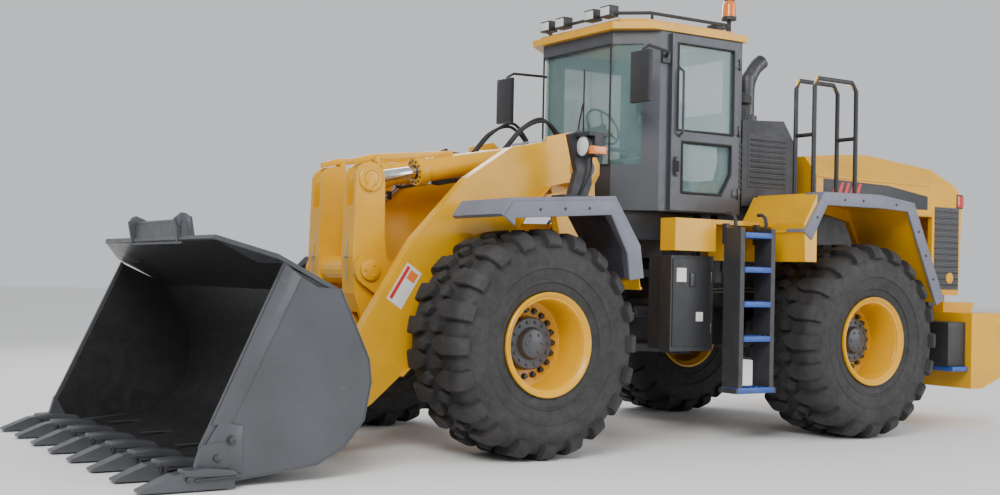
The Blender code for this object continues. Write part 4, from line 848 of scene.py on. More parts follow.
def build_boom_trim():
    """The boom's pivot bosses, edge lip, gussets and pin covers."""
    bosses = []
    for spot, radius in ((BUCKET_PIVOT, 0.135), (BOOM_PIVOT, 0.155)):
        bosses.append(turned([
            (0.075, -0.004), (radius, -0.004), (radius, 0.006), (radius * 0.94, 0.012), (0.075, 0.012)
        ],
                             (spot[0], ARM_FACE, spot[1]), 48))
    lip = sheet(list(reversed(ARM_UNDER[1:7])), 0.012, ARM_FACE - 0.002, ARM_FACE + 0.040, -0.004)
    gusset = prism([(1.12, 2.14), (1.38, 2.10), (1.30, 1.97), (1.16, 1.99)], 0.655, 0.700, "y", 0.006)
    lug = cross_rod((1.25, 2.05), 0.64, 0.745, 0.045)
    under = cross_rod((2.02, 1.155), 0.655, 0.705, 0.055)
    pair("boom_bosses", [*bosses, lip, gusset, lug, under], "boom_body", YELLOW)
    covers = [*pin_cover(BOOM_PIVOT, ARM_FACE + 0.012, 0.085, 0.026, 3)]
    covers += keeper(BUCKET_PIVOT, 0.776, 60, 0.11)
    covers += bolt((1.74, ARM_FACE + 0.036, 1.50), (0, 1, 0), 0.016, 0.012)
    pair("boom_pin_covers", covers, "boom_body", DARK_STEEL)


def build_boom_lines():
    """The steel hydraulic lines clipped along the inside of each boom arm, and their clips."""
    lines, clips = [], []
    path = [(1.02, 2.46), (1.35, 2.49), (1.66, 2.41), (2.05, 2.14), (2.34, 1.84), (2.46, 1.62)]
    for drop in (0.0, 0.032):
        lines.append(tube([(x, 0.612, z - drop) for x, z in path], 0.010, 10))
    for x, z in path[1:5]:
        clips.append(box((x - 0.022, x + 0.022), (0.598, 0.632), (z - 0.052, z + 0.022)))
    pair("boom_lines", lines, "boom_body", STEEL)
    pair("boom_line_clips", clips, "boom_body", PLASTIC)


def build_boom_plates():
    """The blank plate with its coloured strip and square, low on the outside of each boom arm."""
    slope = (Vector((3.00, 1.05)) - Vector((2.58, 1.70))).normalized()
    side = Vector((-slope.y, slope.x))
    start = Vector((2.50, 1.42))

    def patch(a, b, c, d, rise, name, look):
        corners = [start + slope * u + side * v for u, v in ((a, c), (b, c), (b, d), (a, d))]
        flat = prism([tuple(p) for p in corners], ARM_FACE + rise, ARM_FACE + rise + 0.0012, "y", 0.0)
        place(name, joined(both([flat])), "boom_body", look)

    patch(0.0, 0.34, 0.0, 0.16, 0.0, "boom_plates", WHITE)
    patch(0.02, 0.32, 0.115, 0.145, 0.0014, "boom_plate_strips", PLATE_RED)
    patch(0.03, 0.11, 0.02, 0.10, 0.0014, "boom_plate_squares", PLATE_ORANGE)


def build_bellcrank_trim():
    """The bellcranks' pin bosses and keepers, and their greasing lines with clips."""
    outer = LEVER_Y + 0.10
    rings = [turned([(0.066, 0.0), (0.108, 0.0), (0.108, 0.010), (0.100, 0.016), (0.066, 0.016)],
                    (spot[0], outer, spot[1]), 40) for spot in (LEVER_TOP, LEVER_LOW)]
    pair("bellcrank_bosses", rings, "bellcranks_body", YELLOW)
    pins = [cross_rod(spot, outer - 0.01, outer + 0.020, 0.062) for spot in (LEVER_TOP, LEVER_LOW)]
    pins += keeper(LEVER_TOP, outer + 0.016, -70) + keeper(LEVER_LOW, outer + 0.016, 75)
    pair("bellcrank_keepers", pins, "bellcranks_body", YELLOW)
    front = [(2.86, 2.05), (2.93, 1.80), (2.958, 1.55), (2.945, 1.36)]
    line = tube([(x, LEVER_Y, z) for x, z in front], 0.005, 8)
    clips = [box(
        (x - 0.02, x + 0.012), (LEVER_Y - 0.02, LEVER_Y + 0.02), (z - 0.01, z + 0.01)
    ) for x, z in front[1:3]]
    pair("grease_lines", [line, *clips], "bellcranks_body", STEEL)


def build_pin_ends():
    """Round caps with a bolt on the ends of the shafts through the bellcranks and the links."""
    crank = [turned([(0.0, 0.0), (0.085, 0.0), (0.085, 0.020), (0.076, 0.026), (0.0, 0.026)],
                    (CRANK_PIVOT[0], 0.452, CRANK_PIVOT[1]), 32)]
    crank += circle_of_bolts(CRANK_PIVOT, 0.478, 0.05, 3, 0.011, 0.010)
    pair("bellcrank_pin_caps", crank, "bellcrank_pin_body", YELLOW)
    link = [turned([(0.0, 0.0), (0.076, 0.0), (0.076, 0.010), (0.068, 0.015), (0.0, 0.015)],
                   (LINK_PIVOT[0], 0.40, LINK_PIVOT[1]), 32)]
    link += circle_of_bolts(LINK_PIVOT, 0.415, 0.0, 1, 0.013, 0.010)
    pair("link_pin_caps", link, "link_pin_body", YELLOW)


def build_cylinder(kind, side, base, tip, y, radius, head, collar):
    """The round barrel, bolted head ring, ports and clamped feed line of a cylinder, and its chrome rod."""
    y = SIDES[side] * y

    def spot(distance):
        point = along(base, tip, distance)
        return Vector((point.x, y, point.y))

    line = (spot(1.0) - spot(0.0)).normalized()
    down = Vector((line.z, 0, -line.x))
    barrel = [rod(spot(0.15), spot(head - 0.012), radius + 0.002, 48)]
    barrel.append(rod(spot(head - collar), spot(head + 0.003), radius + 0.021, 48, None, 0.005))
    barrel.append(rod(spot(0.20), spot(0.26), radius + 0.008, 48, None, 0.004))
    body = f"{kind}_barrel_{side}_body"
    place(f"{kind}_barrel_tube_{side}", joined(barrel), body, YELLOW)
    heads = []
    for index in range(HEAD_BOLTS):
        angle = 2 * pi * index / HEAD_BOLTS
        off = (down * cos(angle) + Vector((0, 1, 0)) * sin(angle)) * (radius - 0.004)
        heads += bolt(spot(head + 0.002) + off, line, 0.009, 0.010, False)
    heads.append(rod(spot(head), spot(head + 0.012), 0.062, 32, None, 0.003))
    place(f"{kind}_head_bolts_{side}", joined(heads), body, DARK_STEEL)
    low = radius + 0.030
    feed = [spot(0.32) + down * radius, spot(0.34) + down * low, spot(0.46) + down * low]
    feed += [
        spot(head - 0.34) + down * low, spot(head - 0.20) + down * low, spot(head - 0.13) + down * radius
    ]
    fittings = []
    for distance in (0.32, head - 0.13):
        port = spot(distance)
        fittings.append(rod(port + down * (radius - 0.012), port + down * (radius + 0.022), 0.026, 6))
    place(f"{kind}_feed_line_{side}", joined([tube(feed, 0.013, 12)]), body, HOSE)
    place(f"{kind}_fittings_{side}", joined(fittings), body, STEEL)
    shaft = [rod(spot(head - 0.10), spot((Vector(tip) - Vector(base)).length - 0.05), ROD_RADIUS, 40)]
    place(f"{kind}_rod_chrome_{side}", joined(shaft), f"{kind}_rod_{side}_body", CHROME)


def build_cylinders():
    """The four cylinders of the lift linkage."""
    for side in SIDES:
        build_cylinder("tilt", side, TILT_BASE, LEVER_TOP, LEVER_Y, 0.095, 1.30, 0.09)
        build_cylinder("lift", side, LIFT_BASE, LIFT_TIP, LIFT_Y, 0.090, 1.14, 0.08)


def build_guard_bars():
    """The flat guard bar and its bracket over each lever's top, carried by the tilt rod."""
    outline = [(1.96, 2.47), (2.76, 2.385), (2.90, 2.345), (2.90, 2.30), (2.74, 2.335), (1.96, 2.42)]
    for side, sign in SIDES.items():
        bar = prism(outline, LEVER_Y - 0.010, LEVER_Y + 0.010, "y", 0.004)
        foot = box((2.68, 2.72), (LEVER_Y - 0.034, LEVER_Y + 0.034), (2.22, 2.37), 0.004)
        parts = [bar, foot, *bolt((2.72, LEVER_Y + 0.034, 2.33), (0, 1, 0), 0.014, 0.012)]
        place(f"tilt_guard_bar_{side}", sided(parts, sign), f"tilt_rod_{side}_body", YELLOW)


def build_linkage_hoses():
    """The feed hoses that loop from the tower to the base of each tilt cylinder."""
    for side, sign in SIDES.items():
        for number, spread in ((1, 0.0), (2, 0.045)):
            y = sign * (LEVER_Y - 0.03 - spread)
            start = Vector((0.78, y, 2.60))
            port = along(TILT_BASE, LEVER_TOP, 0.34)
            end = Vector((port.x, y, port.y + 0.09))
            points = [start, (0.82, y, 2.70), (0.98, y, 2.80 + spread * 0.6), (1.20, y, 2.72), end]
            hose = place(f"tilt_hose_{side}_{number}", tube(points, 0.014, 12), FRONT, HOSE)
            hose.parent = None
            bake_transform(hose)


# Front frame

FENDER_FRONT = [(0.98, 1.42), (1.02, 1.67), (1.27, 2.03), (2.24, 1.97), (2.32, 1.86)]
FENDER_REAR = [(-2.78, 1.28), (-2.33, 2.18), (-1.87, 2.23), (-1.12, 2.22), (-0.87, 1.86)]
FENDER_EDGE = 1.60
TOWER_FACE = 0.611


def build_fender_bands():
    """The moulded side bands of the mudguards, with their push fasteners."""
    for name, path, body in (("front", FENDER_FRONT, FRONT), ("rear", FENDER_REAR, REAR)):
        side = sheet(path, 0.125, FENDER_EDGE - 0.012, FENDER_EDGE + 0.014, -0.006, 0.008)
        cover = sheet(path, 0.008, FENDER_EDGE - 0.20, FENDER_EDGE, -0.007, 0.002)
        parts = [side, cover]
        if name == "front":
            parts.append(sheet(path, 0.006, 0.93, FENDER_EDGE, -0.006, 0.002))
        pair(f"{name}_fender_bands", parts, body, BAND)
        studs = []
        middle = shifted(path, 0.06)
        for start, end in zip(middle, middle[1:]):
            reach = (Vector(end) - Vector(start)).length
            for index in range(1, max(int(reach / 0.20), 1)):
                spot = along(start, end, index * reach / max(int(reach / 0.20), 1))
                studs.append(cross_rod((spot.x, spot.y), FENDER_EDGE + 0.010, FENDER_EDGE + 0.019, 0.012, 14))
        pair(f"{name}_fender_studs", studs, body, PLASTIC)


def build_front_liner():
    """The ribbed sheet that closes each front mudguard behind its wheel."""
    path = [(0.93, 1.34), (0.965, 1.50), (1.02, 1.72), (1.12, 1.86)]
    panel = sheet(path, 0.012, 1.02, 1.55)
    ribs = [sheet(path, 0.020, y - 0.012, y + 0.012, -0.018) for y in (1.06, 1.20, 1.34, 1.48)]
    cross = [cross_rod(spot, 1.02, 1.55, 0.012, 12) for spot in path]
    pair("front_fender_liners", [panel, *ribs, *cross], FRONT, YELLOW)


def build_headlights():
    """The lenses, rims and wiring of the headlights, and the amber markers beside them."""
    for side, sign in SIDES.items():
        centre = (1.14, 1.13, 2.50)
        shell = turned([
            (0.06, -0.075), (0.086, -0.06), (0.094, 0.06), (0.096, 0.084), (0.084, 0.088), (0.080, 0.080),
            (0.05, 0.07),
        ],
                       centre, 48, "x")
        place(f"headlight_shell_{side}", sided([shell], sign), FRONT, PLASTIC)
        dome = turned([
            (0.0, 0.094), (0.04, 0.092), (0.070, 0.086), (0.082, 0.080), (0.082, 0.076), (0.0, 0.076)
        ], centre, 48, "x")
        place(f"headlight_lens_{side}", sided([dome], sign), FRONT, CLEAR)
        marker = [box((1.055, 1.225), (1.206, 1.242), (2.43, 2.50), 0.010)]
        place(f"marker_lamp_{side}", sided(marker, sign), FRONT, AMBER)
        wire = tube(
            [(1.10, 1.10, 2.42), (1.10, 1.09, 2.30), (1.16, 1.075, 2.16), (1.20, 1.07, 2.09)], 0.008, 8
        )
        place(f"headlight_wire_{side}", sided([wire], sign), FRONT, HOSE)


def build_tower_trim():
    """The loader tower's bolts, hose blocks and stiffening flanges."""
    covers = []
    for x, z in ((0.78, 1.30), (0.78, 1.75), (0.86, 2.02)):
        covers += bolt((x, TOWER_FACE, z), (0, 1, 0), 0.018, 0.014)
    covers += circle_of_bolts(LIFT_BASE, 0.59, 0.035, 3, 0.011, 0.010)
    block = [box(
        (0.76, 0.88), (-0.36, -0.10), (2.60, 2.66), 0.006
    ), box((0.76, 0.88), (0.10, 0.36), (2.60, 2.66), 0.006)]
    pair("tower_bolts", covers, FRONT, DARK_STEEL)
    place("hose_blocks", joined(block), FRONT, STEEL)
    flange = prism([
        (0.92, 1.20), (1.00, 1.60), (1.18, 2.30), (1.20, 2.30), (1.02, 1.59), (0.94, 1.19)
    ], 0.56, 0.64, "y", 0.003)
    pair("tower_flanges", [flange], FRONT, YELLOW)


# Cab

DOOR_FACE = 0.836
SEAL_RADIUS = 0.012


def seal(corners, y=None, x=None):
    """A rubber bead round an opening, from its corners on a face square to Y or X."""
    def lift(a, b):
        return (a, y, b) if y is not None else (x, a, b)

    ring = [lift(*corner) for corner in corners]
    return tube([*ring, ring[0]], SEAL_RADIUS, 8, 0)


def build_cab_seals():
    """The rubber round each window, and the door's lower pane."""
    upper = [(-0.76, 2.76), (-0.08, 2.76), (-0.08, 3.54), (-0.76, 3.54)]
    lower = [(-0.14, 2.20), (-0.62, 2.20), (-0.74, 2.40), (-0.74, 2.66), (-0.14, 2.66)]
    place("door_seals", joined([seal(upper, y=DOOR_FACE), seal(lower, y=DOOR_FACE)]), "cab_door_body", SEAL)
    pane = prism([
        (-0.15, 2.21), (-0.615, 2.21), (-0.73, 2.405), (-0.73, 2.65), (-0.15, 2.65)
    ], 0.808, 0.818, "y", 0.001)
    place("door_lower_glass", pane, "cab_door_body", GLASS)
    side = [(-0.80, 2.50), (-0.02, 2.50), (-0.02, 3.52), (-0.80, 3.52)]
    beads = [seal(side, y=-0.802), seal([(-0.6, 3.0), (0.6, 3.0), (0.6, 3.52), (-0.6, 3.52)], x=-0.902)]
    front = [(-0.50, 2.44), (0.50, 2.44), (0.50, 3.52), (-0.50, 3.52)]
    beads.append(tube([(0.424, y, z) for y, z in [*front, front[0]]], 0.010, 8, 0))
    place("window_seals", joined(beads), REAR, SEAL)


def build_door_fittings():
    """The door's handle and hinges."""
    handle = [box((-0.09, -0.045), (DOOR_FACE, DOOR_FACE + 0.010), (2.34, 2.52), 0.006), box(
        (-0.078, -0.056), (DOOR_FACE + 0.010, DOOR_FACE + 0.046), (2.38, 2.48), 0.008
    )]
    hinges = []
    for z in (2.22, 2.80, 3.42):
        hinges.append(rod((-0.838, 0.842, z - 0.05), (-0.838, 0.842, z + 0.05), 0.014, 16))
        hinges.append(box((-0.836, -0.76), (0.835, 0.842), (z - 0.035, z + 0.035), 0.003))
    place("door_handle", joined(handle), "cab_door_body", PLASTIC)
    place("door_hinges", joined(hinges), "cab_door_body", DARK_STEEL)


def build_louvers():
    """The air louvers behind the door and the vent panel under the right window."""
    slats = []
    for index in range(9):
        z = 2.22 + index * 0.055
        slats.append(prism(
            [(-0.90, z), (-0.852, z), (-0.852, z + 0.030), (-0.90, z + 0.040)], 0.800, 0.812, "y", 0.002
        ))
    panel = [box((-0.78, -0.06), (-0.812, -0.801), (2.12, 2.44), 0.004)]
    for index in range(6):
        panel.append(
            box((-0.72, -0.12), (-0.818, -0.810), (2.16 + index * 0.045, 2.18 + index * 0.045), 0.002)
        )
    place("cab_louvers", joined([*slats, *panel]), REAR, PLASTIC)


def build_wiper():
    """The windscreen wiper: spindle, arm and blade."""
    arm = tube([(0.436, 0.0, 2.50), (0.446, 0.08, 2.80), (0.438, 0.13, 3.02)], 0.008, 10)
    blade = box((0.424, 0.434), (0.125, 0.137), (2.72, 3.34), 0.002)
    spindle = rod((0.42, 0.0, 2.50), (0.452, 0.0, 2.50), 0.022, 20)
    place("wiper", joined([arm, blade, spindle]), REAR, PLASTIC)


def build_roof_lamps():
    """The lenses of the work lights, the rear lights, the beacon's dome and an antenna."""
    front = [
        box((0.455, 0.468), (y - 0.060, y + 0.060), (3.782, 3.858), 0.008) for y in (-0.45, -0.22, 0.22, 0.45)
    ]
    place("work_light_lenses", joined(front), REAR, CLEAR)
    shells, lenses = [], []
    for y in (-0.45, 0.45):
        shells.append(box((-0.93, -0.84), (y - 0.07, y + 0.07), (3.76, 3.86), 0.010))
        lenses.append(box((-0.94, -0.928), (y - 0.06, y + 0.06), (3.77, 3.85), 0.006))
    place("rear_light_shells", joined(shells), REAR, PLASTIC)
    place("rear_light_lenses", joined(lenses), REAR, CLEAR)
    dome = [(0.0, 0.176), (0.030, 0.172), (0.050, 0.155), (0.062, 0.110), (0.066, 0.0), (0.0, 0.0)]
    place("beacon_dome", turned(dome, (-0.84, 0.68, 3.884), 40, "z"), REAR, AMBER)
    aerial = tube([(-0.80, -0.50, 3.74), (-0.80, -0.50, 3.90), (-0.83, -0.50, 4.04)], 0.004, 8)
    place("aerial", aerial, REAR, PLASTIC)


def build_mirrors():
    """Mirror housings with their silvered faces and clamps."""
    for side, sign in SIDES.items():
        shell = [box(
            (0.485, 0.535), (0.895, 1.145), (2.935, 3.385), 0.020
        ), rod((0.50, 1.02, 3.16), (0.50, 1.02, 3.26), 0.024, 20)]
        place(f"mirror_shell_{side}", sided(shell, sign), REAR, PLASTIC)
        face = [box((0.480, 0.486), (0.912, 1.128), (2.955, 3.365), 0.003)]
        place(f"mirror_face_{side}", sided(face, sign), REAR, MIRROR)


CLOTH_STEPS = 20
CLOTH_PRESSURE = 4.0
VOXEL, QUICK_VOXEL = 0.008, 0.012


def cushion(name, limits, puff):
    """A sewn cushion: cloth blown up over a rounded block, capped so that it stays near the block."""
    mesh_data = box(*limits, 0.03)
    mesh_data.transform(Matrix.Translation(PIVOT))
    obj = bpy.data.objects.new(name, mesh_data)
    bpy.context.scene.collection.objects.link(obj)
    remesh = obj.modifiers.new("remesh", "REMESH")
    remesh.mode = "VOXEL"
    remesh.voxel_size = VOXEL
    graph = bpy.context.evaluated_depsgraph_get()
    dense = bpy.data.meshes.new_from_object(obj.evaluated_get(graph))
    obj.modifiers.clear()
    obj.data = dense
    rest = [vert.co.copy() for vert in dense.vertices]
    sim = obj.modifiers.new("cloth", "CLOTH")
    sim.settings.use_pressure = True
    sim.settings.uniform_pressure_force = CLOTH_PRESSURE
    sim.settings.effector_weights.gravity = 0.0
    for step in range(1, CLOTH_STEPS + 1):
        bpy.context.scene.frame_set(step)
    graph = bpy.context.evaluated_depsgraph_get()
    blown = bpy.data.meshes.new_from_object(obj.evaluated_get(graph))
    obj.modifiers.clear()
    bpy.context.scene.frame_set(1)
    for vert, first, last in zip(dense.vertices, rest, blown.vertices):
        move = last.co - first
        vert.co = first + (move.normalized() * min(move.length, puff) if move.length > 1e-6 else move)
    dense.materials.clear()
    dense.materials.append(SEAT)
    dense.shade_smooth()
    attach(obj, REAR)


def build_seat():
    """The operator's seat in sewn cloth on its shell and pedestal, with armrests."""
    cushion("seat_cushion", ((-0.66, -0.15), (-0.25, 0.25), (2.44, 2.56)), 0.012)
    cushion("seat_back", ((-0.70, -0.58), (-0.24, 0.24), (2.56, 3.15)), 0.012)
    cushion("seat_headrest", ((-0.745, -0.665), (-0.14, 0.14), (3.16, 3.34)), 0.008)
    shell = [box(
        (-0.69, -0.17), (-0.235, 0.235), (2.385, 2.45), 0.015
    ), box((-0.60, -0.32), (-0.12, 0.12), (2.10, 2.40), 0.02)]
    shell.append(prism([(-0.70, 2.46), (-0.66, 2.46), (-0.70, 3.12), (-0.745, 3.12)], -0.22, 0.22, "y", 0.01))
    shell += both([box(
        (-0.62, -0.24), (0.27, 0.33), (2.66, 2.70), 0.015
    ), box((-0.62, -0.57), (0.25, 0.30), (2.46, 2.68), 0.008)])
    base = place("seat_shell", joined(shell), REAR, PLASTIC)
    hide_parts("operator_seat")


def build_steering_wheel():
    """The steering wheel's round rim, spokes and boss, on a column with a dash hood."""
    centre, line = Vector((0.095, 0.0, 2.845)), Vector((-0.04, 0.0, 0.03)).normalized()
    turn = Vector((0, 0, 1)).rotation_difference(line).to_matrix().to_4x4()
    ring = [(0.19 + 0.013 * cos(a), 0.013 * sin(a)) for a in [2 * pi * k / 12 for k in range(12)]]
    rim = turned(ring, (0, 0, 0), 56, "z")
    spokes = [rod((0, 0, 0), (0.185 * cos(a), 0.185 * sin(a), 0), 0.009, 12) for a in (0.5, 2.6, 4.7)]
    boss = turned(
        [(0.0, 0.022), (0.03, 0.018), (0.036, 0.0), (0.03, -0.06), (0.0, -0.06)], (0, 0, 0), 32, "z"
    )
    wheel = joined([rim, *spokes, boss])
    wheel.transform(Matrix.Translation(centre) @ turn)
    column = prism([(0.25, 2.10), (0.19, 2.10), (0.085, 2.80), (0.125, 2.84)], -0.055, 0.055, "y", 0.012)
    base = box((0.10, 0.34), (-0.16, 0.16), (2.095, 2.30), 0.02)
    dash = prism(
        [(0.16, 2.62), (0.30, 2.66), (0.30, 2.80), (0.22, 2.84), (0.14, 2.72)], -0.14, 0.14, "y", 0.015
    )
    piece = place("steering_wheel", joined([wheel, column, base, dash]), REAR, PLASTIC)
    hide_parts("steering_console")


# Deck, hood and rear

HOOD_Y = 0.80


def build_deck_rails():
    """Black sleeves over the deck's handrail hoops."""
    ahead, behind, top = -1.34, -1.90, 3.30
    hoop = [(ahead, 2.21), (ahead, top - 0.08), (ahead - 0.04, top), (behind + 0.06, top)]
    hoop += [(behind, top - 0.08), (behind, 2.21)]
    rails = [tube([(x, y, z) for x, z in hoop], 0.021, 12, 1) for y in (1.06, 1.28)]
    rails += [rod((x, 1.06, 2.78), (x, 1.28, 2.78), 0.019, 16) for x in (ahead, behind)]
    pair("deck_handrails", rails, REAR, PLASTIC)


def build_step_treads():
    """The blue step treads with their raised grip studs, and the walkway's grip strips."""
    treads = []
    for z, grow in ((0.49, 0.06), (0.935, 0.0), (1.235, 0.0), (1.535, 0.0), (1.835, 0.0)):
        low, high = -0.64 - grow, -0.32 + grow
        treads.append(box((low, high), (1.252, 1.458), (z - 0.042, z + 0.006), 0.006))
        for index in range(6):
            for row in range(3):
                spot = (low + (high - low) * (index + 0.5) / 6, 1.285 + row * 0.065, z + 0.004)
                treads.append(rod(spot, (spot[0], spot[1], spot[2] + 0.007), 0.012, 10, 0.008, 0.0))
    pair("step_treads", treads, REAR, STEP_BLUE)
    strips = [
        box((-0.84 + 0.09 * k, -0.79 + 0.09 * k), (0.88, 1.19), (1.949, 1.954), 0.001) for k in range(9)
    ]
    pair("walkway_grip", strips, REAR, PLASTIC)


def build_side_box_trim():
    """The side box's lid, latch, hinges and small blank plates."""
    lid = [box((-0.22, 0.23), (1.149, 1.158), (0.84, 1.60), 0.004)]
    latch = [box(
        (-0.02, 0.04), (1.157, 1.170), (1.36, 1.48), 0.006
    ), *bolt((-0.17, 1.158, 1.52), (0, 1, 0), 0.012, 0.01)]
    latch += [rod((-0.215, 1.158, z), (-0.215, 1.158, z + 0.09), 0.012, 14) for z in (0.95, 1.40)]
    plates = [box((0.08, 0.19), (1.157, 1.1595), (1.40, 1.52), 0.0), box(
        (-0.12, -0.04), (1.157, 1.1595), (1.06, 1.14), 0.0
    )]
    pair("side_box_lids", lid, REAR, PLASTIC)
    pair("side_box_latches", latch, REAR, DARK_STEEL)
    pair("side_box_plates", plates, REAR, WHITE)


def build_hood_trim():
    """The hood's dark side panels with their red slashes, and its crease, lower strip and latches."""
    side = HOOD_Y
    panel = prism([
        (-2.02, 2.20), (-3.58, 2.20), (-3.58, 2.34), (-2.96, 2.42), (-2.02, 2.44)
    ], side - 0.002, side + 0.006, "y", 0.003)
    crease = tube(
        [(-1.95, side + 0.002, 2.455), (-2.60, side + 0.003, 2.452), (-3.62, side + 0.002, 2.448)], 0.008, 8
    )
    lower = box((-3.64, -1.94), (side - 0.001, side + 0.010), (2.135, 2.165), 0.003)
    pair("hood_side_trim", [crease, lower], "hood_body", YELLOW)
    pair("hood_side_panels", [panel], "hood_body", FRAME_BLACK)
    slashes = []
    for index in range(5):
        x = -2.10 - index * 0.085
        slashes.append(prism([
            (x, 2.215), (x - 0.045, 2.215), (x - 0.125, 2.415), (x - 0.080, 2.415)
        ], side + 0.0065, side + 0.008, "y", 0.0))
    pair("hood_slashes", slashes, "hood_body", PLATE_RED)
    latches = [
        box((x, x + 0.09), (side + 0.005, side + 0.022), (2.175, 2.215), 0.006) for x in (-2.70, -3.30)
    ]
    pair("hood_latches", latches, "hood_body", PLASTIC)


def build_grilles():
    """The meshed grilles on the hood's rear sides and back, with their slats and frames."""
    meshes, frames = [], []
    meshes += both([box((-4.09, -3.70), (HOOD_Y - 0.001, HOOD_Y + 0.005), (1.38, 2.24), 0.0)])
    for index in range(13):
        z = 1.42 + index * 0.064
        frames += both([box((-4.08, -3.71), (HOOD_Y + 0.003, HOOD_Y + 0.012), (z, z + 0.012), 0.002)])
    meshes.append(
        prism([(-4.102, 1.40), (-4.142, 2.19), (-4.147, 2.19), (-4.107, 1.40)], -0.60, 0.60, "y", 0.0)
    )
    for index in range(9):
        y = -0.56 + index * 0.14
        frames.append(prism(
            [(-4.105, 1.40), (-4.145, 2.19), (-4.158, 2.19), (-4.118, 1.40)], y - 0.006, y + 0.006, "y", 0.002
        ))
    place("grille_screens", joined(meshes), "hood_body", GRILLE)
    place("grille_slats", joined(frames), "hood_body", PLASTIC)


def build_tail_lamps():
    """The tail lamps, the drawbar pin, the counterweight's bolts, and the rear lockers and steps."""
    shells = both([box((-4.155, -4.05), (0.735, 0.806), (2.235, 2.385), 0.008)])
    lenses = both([box((-4.162, -4.06), (0.745, 0.812), (2.25, 2.37), 0.008)])
    place("tail_lamp_shells", joined(shells), "hood_body", PLASTIC)
    place("tail_lamp_lenses", joined(lenses), "hood_body", RED)
    pin = [
        rod((-3.70, 0, 0.56), (-3.70, 0, 0.90), 0.03, 24), rod((-3.70, 0, 0.89), (-3.70, 0, 0.92), 0.05, 24)
    ]
    heads = []
    for z in (0.75, 1.00):
        heads += both(bolt((-4.27, 0.70, z), (-1, 0, 0), 0.028, 0.020))
    place("counterweight_fittings", joined([*pin, *heads]), REAR, DARK_STEEL)
    locker = [box(
        (-3.49, -3.22), (0.92, 1.34), (0.62, 1.06), 0.012
    ), box((-3.30, -3.26), (0.48, 0.94), (1.24, 1.30), 0.004)]
    locker.append(box((-3.44, -3.36), (0.46, 1.00), (1.00, 1.30), 0.006))
    pair("rear_lockers", locker, REAR, PLASTIC)
    step = [box((-3.48, -3.24), (1.10, 1.38), (0.575, 0.620), 0.006)]
    pair("rear_steps", step, REAR, STEP_BLUE)


def build_deck_cover_trim():
    """The air cleaner's cap and the slatted screens on the cover behind the cab."""
    side = [box((-1.50, -1.00), (0.799, 0.806), (2.30, 2.80), 0.004)]
    slats = [box((-1.48, -1.02), (0.805, 0.814), (2.34 + 0.05 * k, 2.36 + 0.05 * k), 0.002) for k in range(9)]
    pair("deck_cover_screens", side, REAR, GRILLE)
    pair("deck_cover_slats", slats, REAR, PLASTIC)
    cap = turned([
        (0.0, 0.30), (0.10, 0.30), (0.13, 0.27), (0.13, 0.20), (0.09, 0.18), (0.07, 0.0), (0.0, 0.0)
    ], (-1.20, 0.45, 2.93), 48, "z")
    place("air_cleaner_cap", cap, REAR, PLASTIC)


EXHAUST_X = -1.775


def build_exhaust_pipe():
    """The round exhaust pipe and its pierced heat shield with clamps."""
    x = EXHAUST_X
    path = [(x, 0, 2.15), (x, 0, 3.36), (x - 0.035, 0, 3.50), (x - 0.105, 0, 3.605), (x - 0.20, 0, 3.68)]
    place("exhaust_pipe", tube(path, 0.0765, 40, 6), REAR, DARK_STEEL)
    shield = turned([(0.080, 0.0), (0.103, 0.01), (0.103, 0.91), (0.080, 0.92)], (x, 0, 2.19), 48, "z")
    place("exhaust_shield", shield, REAR, GRILLE)
    clamps = [turned(
        [(0.100, 0.0), (0.108, 0.0), (0.108, 0.025), (0.100, 0.025)], (x, 0, z), 48, "z"
    ) for z in (2.30, 2.64, 2.98)]
    place("exhaust_clamps", joined(clamps), REAR, STEEL)


def build_chassis_trim():
    """Bolts and pipes on the rear frame between the wheels, and the hitch's pin cover."""
    heads = []
    for x in (-0.9, -1.2, -1.5, -2.5, -2.8, -3.1, -3.4):
        heads += bolt((x, 0.46, 1.42), (0, 1, 0), 0.016, 0.012)
    for x in (WHEELS["rear_left"].x - 0.10, WHEELS["rear_left"].x + 0.10):
        heads += bolt((x, 0.44, AXLE_Z + 0.28), (0, 0, 1), 0.020, 0.016)
    pair("frame_bolts", heads, REAR, DARK_STEEL)
    lines = [tube(
        [(-0.72, 0.475, 1.30 + d), (-1.30, 0.475, 1.32 + d), (-1.70, 0.475, 1.30 + d)], 0.010, 10
    ) for d in (0.0, 0.03)]
    pair("frame_lines", lines, REAR, STEEL)
    caps = [
        turned([(0.0, 0.03), (0.05, 0.03), (0.105, 0.012), (0.11, 0.0), (0.0, 0.0)], (0, 0, 1.51), 40, "z")
    ]
    place("hitch_pin_cover", joined(caps), REAR, DARK_STEEL)


# Camera, floor and light

CAMERA_PLACE = Vector((7.8423, 9.5198, 1.3986))
YAW, PITCH, ROLL = radians(-121.4057), radians(0.9707), radians(1.2519)
FOCAL_SHARE = 1.29125
CENTRE_SHIFT = (0.07518, 0.0070)
SENSOR = 36.0
FLOOR_REACH = 90.0


def add_camera():
    """The camera at the photograph's view."""
    ahead = Vector((cos(YAW) * cos(PITCH), sin(YAW) * cos(PITCH), sin(PITCH)))
    right = ahead.cross(Vector((0, 0, 1))).normalized()
    up = right.cross(ahead)
    rolled_right = right * cos(ROLL) + up * sin(ROLL)
    rolled_up = up * cos(ROLL) - right * sin(ROLL)
    turn = Matrix((rolled_right, rolled_up, -ahead)).transposed().to_4x4()
    data = bpy.data.cameras.new("photo_camera")
    data.sensor_width = SENSOR
    data.lens = FOCAL_SHARE * SENSOR
    data.shift_x, data.shift_y = CENTRE_SHIFT
    data.clip_end = 200.0
    camera = bpy.data.objects.new("photo_camera", data)
    camera.matrix_world = Matrix.Translation(CAMERA_PLACE + PIVOT) @ turn
    bpy.context.scene.collection.objects.link(camera)
    bpy.context.scene.camera = camera


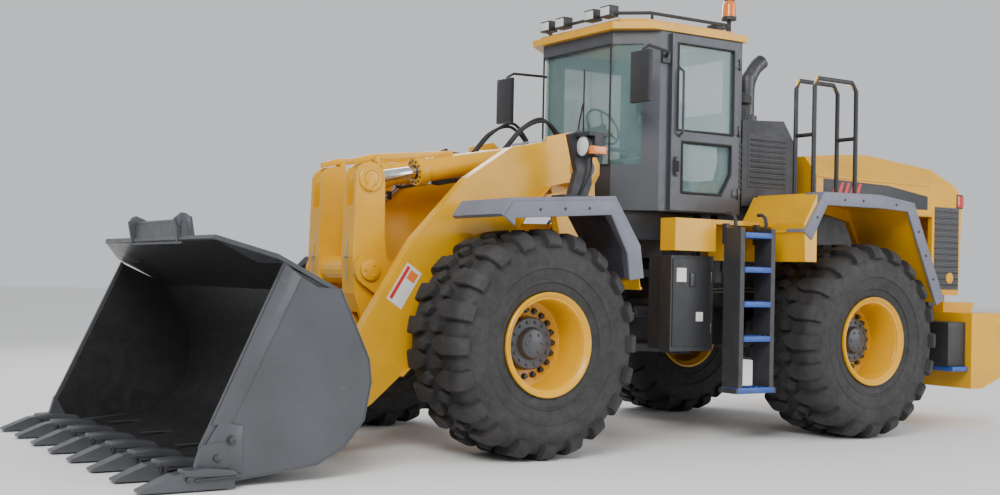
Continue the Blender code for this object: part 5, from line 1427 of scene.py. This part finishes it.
def floor_material():
    """Pale studio concrete with a faint cloudy tone."""
    made, tree, shader = material("studio_floor")
    tone = ramp(tree, noise(tree, 0.35, 6.0), [(0.3, (0.84, 0.84, 0.83)), (0.7, (0.90, 0.90, 0.89))])
    tree.links.new(tone, shader.inputs["Base Color"])
    shader.inputs["Roughness"].default_value = 0.7
    bumped(tree, shader, noise(tree, 30.0, 6.0), 0.05, 0.002)
    return made


def add_floor():
    """A pale round floor that reaches far behind the machine."""
    bm = bmesh.new()
    bmesh.ops.create_circle(bm, cap_ends=True, segments=64, radius=FLOOR_REACH)
    made = bpy.data.meshes.new("floor")
    bm.to_mesh(made)
    bm.free()
    floor = bpy.data.objects.new("studio_floor", made)
    floor.data.materials.append(floor_material())
    bpy.context.scene.collection.objects.link(floor)


def add_light(name, spot, aim, size, power, colour=(1, 1, 1)):
    """A soft square light pointed at a place."""
    data = bpy.data.lights.new(name, "AREA")
    data.size = size
    data.energy = power
    data.color = colour
    light = bpy.data.objects.new(name, data)
    light.location = spot
    light.rotation_euler = (Vector(aim) - Vector(spot)).to_track_quat("-Z", "Y").to_euler()
    bpy.context.scene.collection.objects.link(light)


def add_lights():
    """A key from the camera's left and above, a fill from its right, a rim from behind and a pale world."""
    add_light("key", (9.0, 9.0, 9.0), (0, 0, 1.5), 6.0, 1500.0, (1.0, 0.99, 0.97))
    add_light("fill", (-8.0, 10.0, 5.0), (0, 0, 1.5), 8.0, 700.0, (0.95, 0.97, 1.0))
    add_light("rim", (-3.0, -9.0, 8.0), (0, 0, 2.0), 6.0, 700.0)
    world = bpy.data.worlds.new("studio")
    world.use_nodes = True
    world.node_tree.nodes["Background"].inputs["Color"].default_value = (0.95, 0.97, 1.0, 1.0)
    world.node_tree.nodes["Background"].inputs["Strength"].default_value = 0.75
    bpy.context.scene.world = world


def main():
    """Builds every piece, the stage and the lights."""
    finish_frame()
    for build in (
        build_wheels, build_bucket_inside_shade, build_bucket_teeth, build_bucket_sides, build_bucket_guard,
        build_boom_trim, build_boom_lines, build_boom_plates, build_bellcrank_trim, build_pin_ends,
        build_cylinders, build_guard_bars, build_linkage_hoses, build_fender_bands, build_front_liner,
        build_headlights, build_tower_trim, build_cab_seals, build_door_fittings, build_louvers,
        build_wiper, build_roof_lamps, build_mirrors, build_seat, build_steering_wheel, build_deck_rails,
        build_step_treads, build_side_box_trim, build_hood_trim, build_grilles, build_tail_lamps,
        build_deck_cover_trim, build_exhaust_pipe, build_chassis_trim, add_camera, add_floor, add_lights,
    ):
        build()


def write_size():
    """Imports json and does nothing else."""
    import json


main()
write_size()
